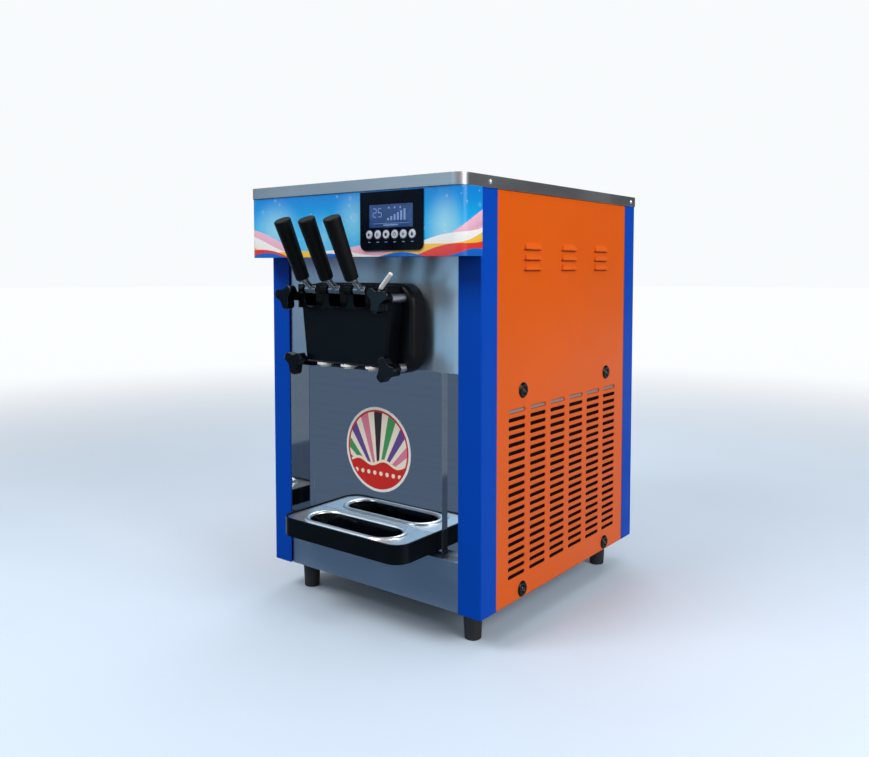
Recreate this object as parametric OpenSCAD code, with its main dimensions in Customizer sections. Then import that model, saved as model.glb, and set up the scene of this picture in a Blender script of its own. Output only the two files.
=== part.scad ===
// Countertop soft serve machine: two freezing cylinders, three draw valves.
// Millimetres, +Z up. The origin is on the floor, under the middle of the whole machine.

/* [Body] */
// Width over the corner posts
body_w = 540; // [480:1:660]
// Depth over the corner posts
body_d = 623; // [600:1:760]
// Height from the underside of the posts to the rim of the top cover
body_h = 769; // [720:1:930]
// Sheet thickness of the panels
sheet_t = 1.2; // [0.8:0.1:2]
// Gap left where two panels meet
panel_gap = 0.5; // [0.3:0.1:0.9]

/* [Corner posts] */
// Width of each leg of the angle posts
post_leg = 50; // [40:1:60]
// Thickness of the angle posts
post_t = 1.5; // [1:0.1:3]
// Outer radius of the fold in the posts
post_fold_r = 3; // [2.5:0.5:6]

/* [Feet] */
// Height of the feet under the body
foot_h = 64; // [40:1:90]
// Diameter of a foot where it meets the base
foot_top_d = 38; // [30:1:50]
// Diameter of a foot where it meets the floor
foot_tip_d = 32; // [24:1:40]
// Distance of the feet from the sides of the body
foot_side_inset = 55; // [40:1:90]
// Distance of the front feet from the front of the posts
foot_front_inset = 55; // [40:1:90]
// Distance of the rear feet from the back of the posts
foot_rear_inset = 63; // [40:1:90]
// Diameter of the foot studs
foot_stud_d = 10; // [8:1:12]
// Length of the foot studs above the base floor
foot_stud_l = 12; // [8:1:20]
// Edge chamfer under each foot
foot_chamfer = 1.5; // [0.5:0.5:3]

/* [Base and shelf] */
// Height of the base pan's turned-up edges
pan_h = 34; // [28:1:50]
// Height of the shelf's turned-up edges
shelf_edge_h = 26; // [20:1:40]
// Sheet thickness of the base pan and the shelf
chassis_t = 1.5; // [1:0.1:3]
// Distance of the shelf from the front and back of the posts
shelf_inset = 40; // [38:1:48]
// Height of the gear motor feet on the shelf
pedestal_h = 84; // [60:1:110]
// Wall round the thread of a foot
weld_nut_wall = 4; // [3:0.5:6]

/* [Side panels] */
// How far the panels sit inside the face of the posts
panel_recess = 0.5; // [0:0.1:2]
// Depth of the stiffening folds at the panel edges
panel_fold = 9; // [6:1:14]
// How far the folds stop short of the base and the shelf
fold_stop = 3; // [2:0.5:6]
// Length of a vent slot
slot_l = 58; // [40:1:64]
// Height of a vent slot
slot_h = 7.5; // [4:0.5:9]
// Columns of vent slots
slot_cols = 6; // [3:1:6]
// Rows of vent slots
slot_rows = 21; // [8:1:21]
// Distance between slot columns
slot_col_pitch = 76.5; // [70:0.5:80]
// Distance between slot rows
slot_row_pitch = 15.6; // [12:0.1:15.8]
// Middle of the first slot column from the post fronts
slot_first_y = 119; // [100:1:125]
// Middle of the lowest slot row above the base
slot_first_z = 50; // [44:1:60]
// Width of a louvre
louvre_w = 60; // [40:1:80]
// Height of a louvre
louvre_h = 13.5; // [10:0.5:18]
// How far a louvre stands out of its panel
louvre_d = 5; // [3:0.5:8]
// Flat lip at the open edge of a louvre
louvre_lip = 2.5; // [1:0.5:4]
// Columns of louvres
louvre_cols = 3; // [1:1:3]
// Rows of louvres
louvre_rows = 3; // [1:1:4]
// Distance between louvre columns
louvre_col_pitch = 141.5; // [100:0.5:150]
// Distance between louvre rows
louvre_row_pitch = 19.5; // [18:0.5:26]
// Middle of the first louvre column from the post fronts
louvre_first_y = 170; // [110:1:180]
// Drop of the highest louvre edge below the cover rim
louvre_drop = 106; // [70:1:120]
// Position of the front panel screws from the post fronts
screw_front_y = 140; // [90:1:160]
// Position of the rear panel screws from the post fronts
screw_rear_y = 485; // [440:1:540]
// Height of the lower panel screws above the base
screw_low_z = 16.5; // [16:0.5:20]
// Height of the upper panel screws above the shelf
screw_shelf_rise = 11.5; // [9:0.5:16]

/* [Fasteners] */
// Diameter of the cup washers
washer_d = 30; // [22:1:32]
// Height of the cup washers
washer_h = 3.5; // [2.5:0.5:5]
// Thickness of the cup washers at their edge
washer_edge = 1; // [0.5:0.1:1.5]
// Thickness of the cup washers under the screw head
washer_seat = 1.5; // [1:0.1:2]
// Width of the slope round a cup washer
washer_slope = 3; // [2:0.5:4]
// Diameter of the panel screw shanks
screw_d = 5; // [4:0.5:6]
// Diameter of the panel screw heads
screw_head_d = 11; // [9:0.5:14]
// Length of the panel screw shanks
screw_l = 14; // [10:1:20]
// Radial clearance of the screw holes
screw_gap = 0.2; // [0.1:0.1:0.5]
// Height of a screw head for each millimetre of its radius
dome_ratio = 0.6; // [0.4:0.1:0.9]
// Diameter of the cover screw shanks
rim_screw_d = 4; // [3:0.5:5]
// Diameter of the cover screw heads
rim_screw_head_d = 9; // [7:0.5:11]
// Distance of the cover screws from the ends of the posts
rim_screw_inset = 24; // [15:1:35]
// Length of the cover screw shanks
rim_screw_l = 9; // [6:1:12]

/* [Rear panel] */
// Columns of vent slots in the rear panel
rear_cols = 4; // [2:1:5]
// Rows of vent slots in the rear panel
rear_rows = 14; // [6:1:20]
// Height of the lowest rear slot above the base
rear_first_z = 120; // [80:1:200]
// Bore of the cord gland
gland_bore_d = 12; // [8:1:16]
// Outer diameter of the cord gland
gland_d = 24; // [20:1:34]
// How far the cord gland stands out inside the panel
gland_l = 14; // [8:1:24]
// How far the cord gland stands out behind the panel
gland_lip = 2; // [1:0.5:2]
// Distance of the cord gland from the middle
gland_x = 150; // [100:1:180]
// Height of the cord gland above the base
gland_z = 70; // [50:1:100]

/* [Top cover] */
// Height of the cover rim
rim_h = 21.5; // [16:0.5:30]
// Overhang of the cover past the posts and the header
cover_over = 2; // [1.5:0.5:4]
// Radius of the front corners
front_corner_r = 22; // [12:1:30]
// Radius of the rear corners
rear_corner_r = 5; // [4:0.5:5.5]

/* [Hoppers] */
// Inside width of a hopper
hopper_w = 178; // [140:1:190]
// Inside length of a hopper
hopper_l = 268; // [200:1:320]
// Inside depth of a hopper
hopper_depth = 140; // [100:1:150]
// Inside corner radius of a hopper
hopper_r = 30; // [15:1:45]
// Width of the flange round a hopper
hopper_flange = 12; // [8:1:16]
// Distance of a hopper's middle from the middle of the machine
hopper_x = 115; // [112:1:125]
// Distance of a hopper's middle from the post fronts
hopper_y = 300; // [260:1:340]
// Position of the feed hole from the post fronts
feed_y = 200; // [190:1:230]
// Bore of the feed spout
feed_bore_d = 20; // [14:1:24]
// Wall of the feed spout
feed_wall = 2; // [1.5:0.5:3]
// Depth of the feed spout inside the cylinder's inlet
spout_sink = 20; // [12:1:22]
// Height of the inlet above the cylinder's jacket
inlet_rise = 25; // [22:1:30]
// Wall of the cylinder's inlet
inlet_wall = 5; // [3:0.5:8]
// Height of a lid's turned-down edge
lid_edge_h = 7; // [5:0.5:9]
// Thickness of a lid
lid_t = 1.5; // [1:0.1:2.5]
// Overhang of a lid past the hopper's flange
lid_over = 3; // [2:0.5:5]
// Thickness of the grip on a lid
lid_grip_t = 4; // [3:0.5:6]
// Length of the grip on a lid
lid_grip_l = 110; // [80:1:160]
// Width of the grip on a lid
lid_grip_w = 16; // [12:1:24]
// Height of the grip on a lid
lid_grip_h = 11; // [8:0.5:14]
// Height of the air tube above the hopper floor
tube_rise = 112; // [80:1:118]
// Depth of the air tube inside the feed spout
tube_sink = 40; // [20:1:48]
// Bore of the air tube
tube_bore_d = 13; // [8:1:14]
// Diameter of the feed hole in the side of the air tube
tube_port_d = 5; // [3:0.5:8]
// Height of that hole above the hopper floor
tube_port_rise = 8; // [7:0.5:15]
// Width and thickness of the air tube's collar
tube_collar = 3; // [2:0.5:4]
// Radial clearance of sliding fits
fit_gap = 0.05; // [0.02:0.01:0.1]

/* [Header] */
// Height of the header
header_h = 120; // [110:1:150]
// How far the header stands before the posts
header_reach = 60; // [50:1:80]

/* [Control panel] */
// Width of the control panel
control_w = 147; // [140:1:180]
// Height of the control panel
control_h = 106; // [100:1:110]
// Middle of the control panel, right of the middle of the machine
control_x = 115.5; // [90:0.5:130]
// Thickness of the control panel
control_t = 3; // [2:0.5:5]
// Radius of the lower corners of the control panel
control_r = 12; // [4:1:20]
// Gap between the control panel and the cover rim
control_drop = 3; // [2:0.5:6]
// Margin of the opening behind the control panel
control_margin = 9; // [8:1:12]
// Width of the display window
display_w = 103; // [80:1:110]
// Height of the display window
display_h = 42; // [30:1:48]
// Height of the display's middle above the panel's lower edge
display_rise = 62; // [56:1:66]
// Depth of the recess in front of the display window
display_recess = 0.8; // [0.3:0.1:1.2]
// Thickness of the display
display_t = 6; // [4:0.5:8]
// Number of buttons
button_n = 6; // [6:1:6]
// Diameter of a button
button_d = 15.4; // [10:0.2:16]
// Distance between buttons
button_pitch = 20.2; // [18:0.1:21]
// Height of the buttons above the panel's lower edge
button_rise = 28.5; // [20:0.5:30]
// How far a button stands out of the panel
button_proud = 1.4; // [1:0.1:3]
// Travel of a button
button_travel = 1; // [0.5:0.1:1.5]
// Gap round a button
button_gap = 0.3; // [0.3:0.05:0.5]
// Depth of the dish in a button's face
button_dish = 0.3; // [0.1:0.1:0.6]
// Width of the rim round that dish
button_rim = 3; // [2:0.5:4]
// Rounding of a button's edge
button_edge = 0.9; // [0.5:0.1:1.4]
// Radius of a button's stem
button_stem_r = 3; // [2:0.5:5]
// Length of a button's stem
button_stem_l = 5; // [3:0.5:8]
// Depth of the control board's housing
board_depth = 36; // [20:1:40]
// Distance of the board housing's edges from the control panel's edges
board_inset = 7; // [5:1:12]
// Radius of the pillars that hold the board housing
board_pillar_r = 6; // [4:1:9]
// Distance of those pillars from the housing's ends
board_pillar_inset = 15; // [10:1:30]

/* [Front panels] */
// How far the front panels sit from the post fronts
front_inset = 4; // [3:0.5:14]
// Height of the lower front panel
lower_panel_h = 93; // [70:1:94]
// How far the recess lies from the post fronts
recess_depth = 28; // [26:1:36]
// Drop of the recess's top below the head
recess_drop = 8; // [8:0.5:14]
// Half width of the splash panel
splash_half_w = 169; // [140:1:180]
// How far the splash panel lies from the post fronts
splash_inset = 19.5; // [16:0.5:24]

/* [Drip tray] */
// Half width of the tray
tray_half_w = 157; // [150:1:180]
// How far the tray stands before the posts
tray_reach = 90; // [86:1:120]
// Height of the tray's rim
tray_h = 36; // [32:1:46]
// Height of the tray's underside above the base
tray_z = 98; // [96:1:110]
// Radius of the front corners of the tray
tray_r = 32; // [20:1:60]
// Wall of the tray
tray_wall = 3.5; // [2.5:0.5:5]
// Drop of the steel deck below the tray's rim
deck_drop = 2.5; // [2:0.5:6]
// Depth of the steel deck's turned-down edge
deck_edge = 9; // [6:1:11]
// Half length of the oval well
well_half_l = 110; // [80:1:112]
// Radius of the ends of the oval well
well_r = 35; // [25:1:36]
// Width of the raised bead round the well
bead_w = 11; // [6:0.5:11]
// Height of the raised bead round the well
bead_h = 4; // [2:0.5:5]
// Thickness of the steel deck
deck_t = 1; // [0.8:0.1:1.5]
// Thickness of the tray's floor
tray_floor_t = 3; // [2:0.5:4]
// Half width of the bar that carries the drip dish
cradle_half_w = 20; // [12:1:40]
// Thickness of the bar that carries the drip dish
cradle_t = 3; // [2:0.5:5]
// Wall of the drip dish
dish_wall = 2; // [1.5:0.1:3]
// Draw-in of the dish from its rim to its floor
dish_draft = 8; // [2:1:12]
// Half distance between the tray's rails
rail_x = 128; // [120:1:134]
// Width of a rail
rail_w = 10; // [6:1:12]
// Height of a rail
rail_h = 8; // [6:1:10]
// Length of a rail
rail_l = 84; // [60:1:90]
// Half width of the plate behind each rail
rail_plate_half_w = 11; // [8:1:14]
// Thickness of the plate behind each rail
rail_plate_t = 2; // [1.5:0.5:3]

/* [Dispensing head] */
// Drop of the head's top below the header
head_drop = 52; // [40:1:70]
// Height of the head
head_h = 151; // [140:1:165]
// Half width of the head at the top
head_half_top = 115; // [112:1:118]
// Half width of the head at the bottom
head_half_low = 103; // [96:1:106]
// Height of the thick band at the top of the head
band_h = 45; // [40:1:50]
// Front face of the head's plate before the posts
head_face = 64; // [62:1:66]
// Front face of the band before the posts
band_face = 79; // [72:1:82]
// Corner radius of that band
band_r = 12; // [6:1:15]
// Front face of the upper clamp pads before the posts
upper_pad_face = 80; // [78:1:95]
// Front face of the lower clamp pads before the posts
lower_pad_face = 58; // [54:1:64]
// Chamfer along the plate's front edges
head_chamfer = 4; // [2:0.5:6]
// Distance between the valves
valve_pitch = 63; // [60:1:64]
// Distance of the valve axes before the posts
valve_reach = 50; // [48:1:51]
// Radius of the valve bosses
boss_r = 29; // [24:1:30]
// Rounding under the valve bosses
boss_round = 16; // [8:1:20]
// Width of the lever slots
lever_slot = 30; // [16:0.5:32]
// Diameter of the mix passages
passage_d = 14; // [8:1:14]
// Diameter of the passages to the middle valve
side_passage_d = 10; // [6:1:10]
// Height of the passages above the nozzles, at the valves
passage_rise = 16; // [14:1:18]
// Drop of the passages below the cylinder axes, at the cylinders
passage_drop = 27; // [22:1:28]
// Sideways distance from a cylinder's axis to its passage for the middle valve
side_passage_x = 18; // [16:1:20]
// Length of the spigots inside the cylinders
spigot_l = 9; // [8:0.5:12]
// Width of the seals round the spigots
seal_w = 4; // [3:0.5:5]
// Depth of the seal grooves
seal_depth = 3.2; // [2.5:0.1:4]
// How far the lever slots stop above the foot of the bosses
lever_slot_rise = 5; // [4:0.5:8]

/* [Studs and knobs] */
// Half distance between the studs
stud_x = 119; // [118:1:121]
// Drop of the upper studs below the head's top
upper_stud_drop = 23; // [22:0.5:26]
// Drop of the lower studs below the head's top
lower_stud_drop = 151; // [145:1:155]
// Diameter of the studs
stud_d = 12; // [8:1:14]
// Wall of a clamp lug round its stud
lug_wall = 2.5; // [2:0.5:4]
// Thickness of a clamp lug
lug_t = 10; // [8:1:14]
// Length of a clamp lug inside the head
lug_root = 15; // [10:1:20]
// Half width of the weld plates behind the studs
stud_plate_half = 10; // [8:0.5:12]
// Thickness of the weld plates behind the studs
stud_plate_t = 5; // [3:0.5:8]
// How far a stud stops inside the end of its knob
stud_stop = 4; // [3:0.5:6]
// Length of a knob's hub
knob_hub_l = 10; // [4:1:14]
// Diameter of a knob's hub
knob_hub_d = 16; // [15:0.5:18]
// Diameter of a knob between its lobes
knob_core_d = 24; // [18:1:28]
// Thickness of a knob's lobes
knob_t = 17; // [12:1:22]
// Radius over a knob's lobes
knob_r = 26; // [22:1:26]
// Radius at the end of a lobe
lobe_r = 8.5; // [6:0.5:10]
// Edge rounding of a knob
knob_round = 4; // [2:0.5:6]
// Turn of each knob: upper left, upper right, lower left, lower right
knob_turn = [75, 50, 60, 25]; // [0:1:120]

/* [Levers] */
// Distance of the handle pin before the posts
pivot_reach = 82; // [80:0.5:84]
// Drop of the handle pin below the head's top
pivot_drop = 9.5; // [8:0.5:11]
// Diameter of the handle pin
pin_d = 6; // [4:0.5:7]
// Straight length of the pin right of the middle
pin_right = 104; // [95:1:106]
// Straight length of the pin left of the middle
pin_left = 94; // [92:1:100]
// Length of the pin's bent end
pin_bend_l = 42; // [25:1:50]
// Lean of the pin's bent end from upright
pin_bend_lean = 43; // [20:1:60]
// Lean of the grips from upright
grip_lean = 25.3; // [10:0.1:35]
// Length of a grip
grip_l = 119; // [90:1:140]
// Diameter of a grip at its top
grip_top_d = 32; // [26:0.5:36]
// Diameter of a grip at its foot
grip_foot_d = 26; // [22:0.5:30]
// Rounding of the grip's top
grip_round = 3; // [1:0.5:6]
// Chamfer of the grip's foot
grip_chamfer = 1; // [0.5:0.5:2]
// Diameter of the lever's neck
neck_d = 12; // [8:1:13]
// Foot of the grip in front of the pin
neck_reach = 26; // [22:1:32]
// Foot of the grip above the pin
neck_rise = 21.5; // [18:0.5:30]
// Swing of the levers from closed to open
lever_swing = 55; // [40:1:58]
// Clearance of a lever to each boss cheek
lever_gap = 1; // [0.5:0.5:2]
// Radius of the lever's hub
lever_hub_r = 9; // [7:0.5:10]
// Thickness of the lever's rear arm
arm_t = 6; // [4:0.5:7]
// Width of that arm
arm_w = 11; // [8:0.5:13]
// Clearance of that arm in the plunger, each side
arm_gap = 1.5; // [1:0.5:2]
// How far that arm reaches behind the valve axis
arm_over = 1; // [0:0.5:2]
// Radius of the arm's rounded tip
arm_tip_r = 4.5; // [3.5:0.5:5]
// Thickness of the washer under a grip
grip_washer_t = 3.2; // [2:0.2:4]
// Share of a grip that the lever's rod fills
rod_share = 0.7; // [0.5:0.05:0.8]

/* [Valves] */
// Diameter of the plungers
plunger_d = 22; // [18:1:24]
// Drop of a plunger's top below the head's top
plunger_drop = 5; // [2:0.5:8]
// Clearance of the arm's tip in the plunger's notch
notch_gap = 0.5; // [0.4:0.1:0.8]
// Depth of the notch behind the valve axis
notch_back = 6.5; // [6:0.5:8]
// Straight depth of the notch in front of the valve axis
notch_straight = 2; // [1:0.5:3]
// Flare of the notch towards its mouth
notch_flare = 9.5; // [8:0.5:11]
// Width of the seal grooves in a plunger
plunger_groove_w = 3; // [2:0.5:4]
// Depth of the seal grooves in a plunger
plunger_groove_d = 2; // [1:0.5:3]
// Heights of those grooves above the plunger's foot
plunger_grooves = [5, 34]; // [4:1:40]
// Height of the nozzles below the head
nozzle_h = 8; // [6:0.5:12]
// Diameter of the nozzle flanges
nozzle_d = 32; // [26:1:34]
// Height of the nozzle flanges
nozzle_flange_h = 4; // [3:0.5:5]
// Wall of a nozzle's tip round the star
nozzle_wall = 2; // [1.5:0.5:3]
// Depth of the nozzle spigots inside the head
nozzle_spigot = 6; // [4:0.5:8]
// Points on the star-shaped outlet
star_n = 6; // [5:1:8]
// Outer radius of the star
star_r = 7.5; // [5:0.5:9]
// Inner radius of the star
star_in_r = 4.2; // [3:0.1:5]
// Thickness of the star plate
star_t = 2; // [1:0.5:4]

/* [Collar] */
// Half width of the insulating collar
collar_half_w = 141; // [138:1:150]
// Height of the collar
collar_h = 167; // [165:1:185]
// Front face of the collar before the posts
collar_face = 31; // [24:1:33]
// Corner radius of the collar
collar_r = 40; // [20:1:50]
// Rounding of the collar's front edge
collar_round = 9; // [4:0.5:14]
// Rise of the collar's top above the head's top
collar_rise = 3; // [0:0.5:8]

/* [Freezing cylinders] */
// Drop of the cylinder axes below the head's top
cyl_drop = 77; // [70:1:80]
// Inside diameter of a cylinder
cyl_bore_d = 85; // [76:1:88]
// Outside diameter of a cylinder
cyl_d = 92; // [90:1:96]
// Outside diameter of the insulated jacket
jacket_d = 110; // [100:1:116]
// Depth of the cylinders from the post fronts
cyl_l = 330; // [280:1:360]
// Length of the bearing boss behind a cylinder
cyl_boss_l = 15; // [10:1:25]
// Diameter of the drive shaft
shaft_d = 16; // [12:1:20]
// Turns of the helical scraper blades, in degrees
blade_twist = 300; // [120:10:420]
// Clearance of the scraper blades inside the cylinder
blade_gap = 0.4; // [0.3:0.1:1]
// Width of a scraper blade
blade_w = 9; // [6:0.5:12]
// Thickness of a scraper blade
blade_t = 5; // [3:0.5:7]
// Thickness of the spokes that hold the blades
spoke_t = 4; // [3:0.5:6]
// Gap between the beater and the ends of its cylinder
beater_end_gap = 8; // [4:1:12]
// Radius of the pin at the beater's front
front_pin_r = 6; // [4:0.5:7]
// Length of the pin at the beater's front
front_pin_l = 5; // [4:0.5:5.5]
// Thickness of a cylinder's rear wall
cyl_end_t = 6; // [4:0.5:10]
// How far the jacket stops short of the cylinder's end
jacket_stop = 12; // [6:1:20]
// Wall of the bearing boss behind a cylinder
cyl_boss_wall = 14; // [8:1:20]

/* [Drives] */
// Half width of a reducer
gear_half_w = 48; // [40:1:54]
// Half height of a reducer
gear_half_h = 49; // [40:1:56]
// Length of a reducer
gear_l = 80; // [60:1:100]
// Depth of the drive socket in a reducer
gear_socket = 45; // [42:1:55]
// How far the drive shaft enters the reducer
gear_entry = 40; // [30:1:41]
// Diameter of a motor
motor_d = 92; // [80:1:94]
// Length of a motor
motor_l = 135; // [100:1:145]
// How much narrower the foot's post is than the reducer, each side
foot_inset = 8; // [4:1:15]

/* [Cooling] */
// Diameter of the compressor
comp_d = 150; // [120:1:180]
// Height of the compressor
comp_h = 215; // [160:1:260]
// Place of the compressor from the middle
comp_x = -130; // [-160:1:-110]
// Place of the compressor from the post fronts
comp_y = 410; // [300:1:460]
// Rounding of the compressor's dome and bowl
comp_round = 30; // [15:1:50]
// Height of the compressor's bowl above the base
comp_rise = 20; // [14:1:22]
// Length of the condenser
cond_l = 300; // [240:1:340]
// Height of the condenser
cond_h = 290; // [200:1:320]
// Depth of the condenser
cond_d = 56; // [40:1:70]
// Number of gaps between the condenser's fins
cond_gaps = 30; // [10:1:40]
// Middle of the condenser from the post fronts
cond_y = 280; // [240:1:320]
// Distance of the condenser from the panel's inside
cond_side_gap = 12; // [6:1:20]
// Margin round the condenser's fins
cond_margin = 12; // [8:1:20]
// Share of the fin spacing that is open
cond_open = 0.6; // [0.4:0.05:0.8]
// Distance between the fan and the condenser
fan_gap = 5; // [4:1:10]
// Clearance between the fan and its shroud
shroud_gap = 5; // [3:1:10]
// Diameter of the fan
fan_d = 230; // [160:1:260]
// Number of fan blades
fan_n = 5; // [3:1:7]
// Width of the fan blades along the axis
fan_w = 30; // [20:1:40]
// Radius of the fan's hub
fan_hub_r = 32; // [20:1:45]
// Pitch angle of the fan blades
fan_angle = 28; // [15:1:30]
// Thickness of the fan blades
fan_blade_t = 2; // [1.5:0.5:4]
// Half width of a fan blade
fan_blade_half = 22; // [15:1:23]
// Radius of the fan motor's shaft
fan_shaft_r = 4; // [3:0.5:6]
// How far the shaft stops short of the hub's closed end
fan_shaft_stop = 8; // [7:0.5:12]
// Thickness of the hub's closed end
fan_cap_t = 5; // [3:0.5:6]
// Radius of the fan motor
fan_motor_r = 40; // [25:1:50]
// Length of the fan motor
fan_motor_l = 60; // [40:1:80]
// Gap between the fan and its motor
fan_motor_gap = 4; // [3:0.5:8]
// Half width of the fan motor's post
fan_post_half = 25; // [15:1:35]
// Distance of the post from the ends of the fan motor
fan_post_inset = 10; // [6:1:15]

/* [Hidden] */
$fn = 64;
// Overlap that joins touching shapes
eps = 0.01;
// Overshoot of a cutting shape
cut = 1;
// Clearance between neighbours that must not touch
clear = 0.3;
half_w = body_w / 2;
cover_top = body_h + rim_h;
cover_under = cover_top - sheet_t;
post_in_x = half_w - post_t;
panel_out_x = half_w - panel_recess;
panel_in_x = panel_out_x - sheet_t;
chassis_x = panel_in_x - clear;
front_in_x = half_w - post_leg;
front_x = post_in_x - clear;
panel_y0 = post_leg + panel_gap;
panel_y1 = body_d - post_leg - panel_gap;
rear_y = body_d - panel_recess - sheet_t;
rim_screw_ys = [rim_screw_inset, body_d - rim_screw_inset];
panel_screw_ys = [screw_front_y, screw_rear_y];

header_z = body_h - header_h;
header_half = half_w + cover_over;
head_top = header_z - head_drop;
head_low = head_top - head_h;
band_low = head_top - band_h;
upper_stud_z = head_top - upper_stud_drop;
lower_stud_z = head_top - lower_stud_drop;
recess_top = head_low - recess_drop;
head_back = collar_face + panel_gap;
collar_mid = head_top + collar_rise - collar_h / 2;
collar_depth = collar_face + front_inset;

cyl_z = head_top - cyl_drop;
shelf_z = cyl_z - gear_half_h - pedestal_h;
shelf_top = shelf_z + chassis_t;
screw_high_z = shelf_z + screw_shelf_rise;
gear_y = cyl_l + cyl_boss_l;
cyl_bore_r = cyl_bore_d / 2;
shaft_r = shaft_d / 2;

hopper_wall = sheet_t;
hopper_floor = cover_top - hopper_depth;
hopper_half_w = hopper_w / 2;
hopper_half_l = hopper_l / 2;
feed_r = feed_bore_d / 2;
spout_r = feed_r + feed_wall;
inlet_top = cyl_z + jacket_d / 2 + inlet_rise;
spout_low = inlet_top - spout_sink;
lid_half_w = hopper_half_w + hopper_flange + lid_over;
lid_half_l = hopper_half_l + hopper_flange + lid_over;
lid_r = hopper_r + hopper_flange;
lid_rest = 0.1;

control_low = body_h - control_h - control_drop;
control_face = header_reach + control_t;
button_z = control_low + button_rise;
display_z = control_low + display_rise;
button_r = button_d / 2;
button_depth = control_t + button_proud + clear;
board_y = -control_face - button_proud + button_depth + button_stem_l + button_travel + clear;

tray_top = tray_z + tray_h;
deck_z = tray_top - deck_drop;
tray_floor = deck_z - deck_edge;
tray_back = splash_inset - panel_gap;
tray_mid_y = (tray_back - tray_reach) / 2;
well_straight = well_half_l - well_r;
rail_top = tray_floor - tray_floor_t - clear;
rail_low = rail_top - rail_h;
dish_low = tray_z + cradle_t + lid_rest;
dish_gap = 0.4;

valve_xs = [-valve_pitch, 0, valve_pitch];
valve_z_low = head_low + nozzle_spigot + panel_gap;
passage_z = valve_z_low + passage_rise;
pivot_z = head_top - pivot_drop;
arm_l = pivot_reach - valve_reach + arm_over;
lever_w = lever_slot - 2 * lever_gap;
arm_half_w = arm_w / 2;
arm_rest = -lever_swing / 2;
notch_z = pivot_z + arm_l * sin(arm_rest);
plunger_r = plunger_d / 2 - fit_gap;
plunger_top = head_top - plunger_drop;
pin_r = pin_d / 2;
stud_r = stud_d / 2;
lug_r = stud_r + lug_wall;
spigot_r = cyl_bore_r - clear;

cond_x1 = panel_in_x - cond_side_gap;
cond_x0 = cond_x1 - cond_d;
cond_y0 = cond_y - cond_l / 2;
cond_top = chassis_t + cond_h;
cond_mid_z = chassis_t + cond_h / 2;
fan_x = cond_x0 - fan_gap - fan_w;
shroud_x = fan_x - shroud_gap;

grip_top_r = grip_top_d / 2;
grip_foot_r = grip_foot_d / 2;
grip_front = pivot_reach + neck_reach + (grip_l - grip_round) * sin(grip_lean)
    + (grip_top_r - grip_round) * cos(grip_lean) + grip_round;
y_shift = (grip_front - body_d - cover_over) / 2;

orange = [0.85, 0.37, 0.1];
blue = [0.05, 0.25, 0.65];
sky = [0.1, 0.68, 0.92];
steel = [0.72, 0.73, 0.75];
mirror_steel = [0.6, 0.63, 0.67];
galvanised = [0.62, 0.65, 0.66];
black = [0.06, 0.06, 0.07];
charcoal = [0.16, 0.17, 0.18];
white = [0.93, 0.94, 0.95];
screen = [0.3, 0.38, 0.5];
copper = [0.72, 0.45, 0.2];

// Moves the drawing frame, with its zero at the post fronts and the post feet, to the part's origin
module place() translate([0, y_shift, foot_h]) children();

// Left-hand copy of what is drawn on the right
module on_left() mirror([1, 0, 0]) children();

// Both sides of the machine, from one drawn on the right
module both_sides() {
    children();
    on_left() children();
}

// Front-view outline given a depth, its front face at y
module facing(y, t) translate([0, y + t, 0]) rotate([90, 0, 0]) linear_extrude(t) children();

// Side-view outline given a width, from x towards +X
module sideways(x, t) translate([x, 0, 0]) rotate([90, 0, 90]) linear_extrude(t) children();

// Round bar along Y
module bar_y(x, z, y0, y1, r) translate([x, y0, z]) rotate([-90, 0, 0]) cylinder(h = y1 - y0, r = r);

// Round bar along X
module bar_x(y, z, x0, x1, r) translate([x0, y, z]) rotate([0, 90, 0]) cylinder(h = x1 - x0, r = r);

// Box between two corners
module block(low, high) translate(low) cube(high - low);

// Rectangle with round corners, centred
module round_rect(half_x, half_y, r) {
    square([2 * (half_x - r), 2 * half_y], center = true);
    square([2 * half_x, 2 * (half_y - r)], center = true);
    for (sx = [-1, 1], sy = [-1, 1])
        translate([sx * (half_x - r), sy * (half_y - r)]) circle(r);
}

// Oval with round ends along X
module oval(straight, r) {
    square([2 * straight, 2 * r], center = true);
    for (s = [-1, 1])
        translate([s * straight, 0]) circle(r);
}

// Grid of vent slots in a panel's own plane
module slot_grid(cols, rows, col_pitch, row_pitch) {
    for (c = [0 : cols - 1], r = [0 : rows - 1])
        translate([c * col_pitch, r * row_pitch]) oval((slot_l - slot_h) / 2, slot_h / 2);
}

// Rod between two points
module rod_between(a, b, d) {
    v = b - a;
    translate(a) rotate([0, acos(v.z / norm(v)), atan2(v.y, v.x)]) cylinder(h = norm(v), d = d);
}

// Plan with round front corners and a square back
module bow_plan(half, front, back, r) {
    translate([-half, -front + r]) square([2 * half, back + front - r]);
    translate([-half + r, -front]) square([2 * (half - r), back + front]);
    for (s = [-1, 1])
        translate([s * (half - r), -front + r]) circle(r);
}

// Plan of the cover: round front corners and smaller rear ones
module cover_plan(inset) {
    half = header_half - inset;
    back = body_d + cover_over - inset;
    r = rear_corner_r - inset;
    bow_plan(half, header_reach + cover_over - inset, back - r, front_corner_r - inset);
    translate([-half + r, 0]) square([2 * (half - r), back]);
    for (s = [-1, 1])
        translate([s * (half - r), back - r]) circle(r);
}

// Body

module fold_2d(leg, r) {
    translate([r, 0]) square([leg - r, leg]);
    translate([0, r]) square([leg, leg - r]);
    translate([r, r]) circle(r);
}

module angle_2d() difference() {
    fold_2d(post_leg, post_fold_r);
    translate([post_t, post_t]) fold_2d(post_leg, post_fold_r - post_t);
}

module rim_screw_bores() {
    for (y = rim_screw_ys)
        bar_x(y, body_h + rim_h / 2, half_w - rim_screw_l, header_half + cut, rim_screw_d / 2 + screw_gap);
}

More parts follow.
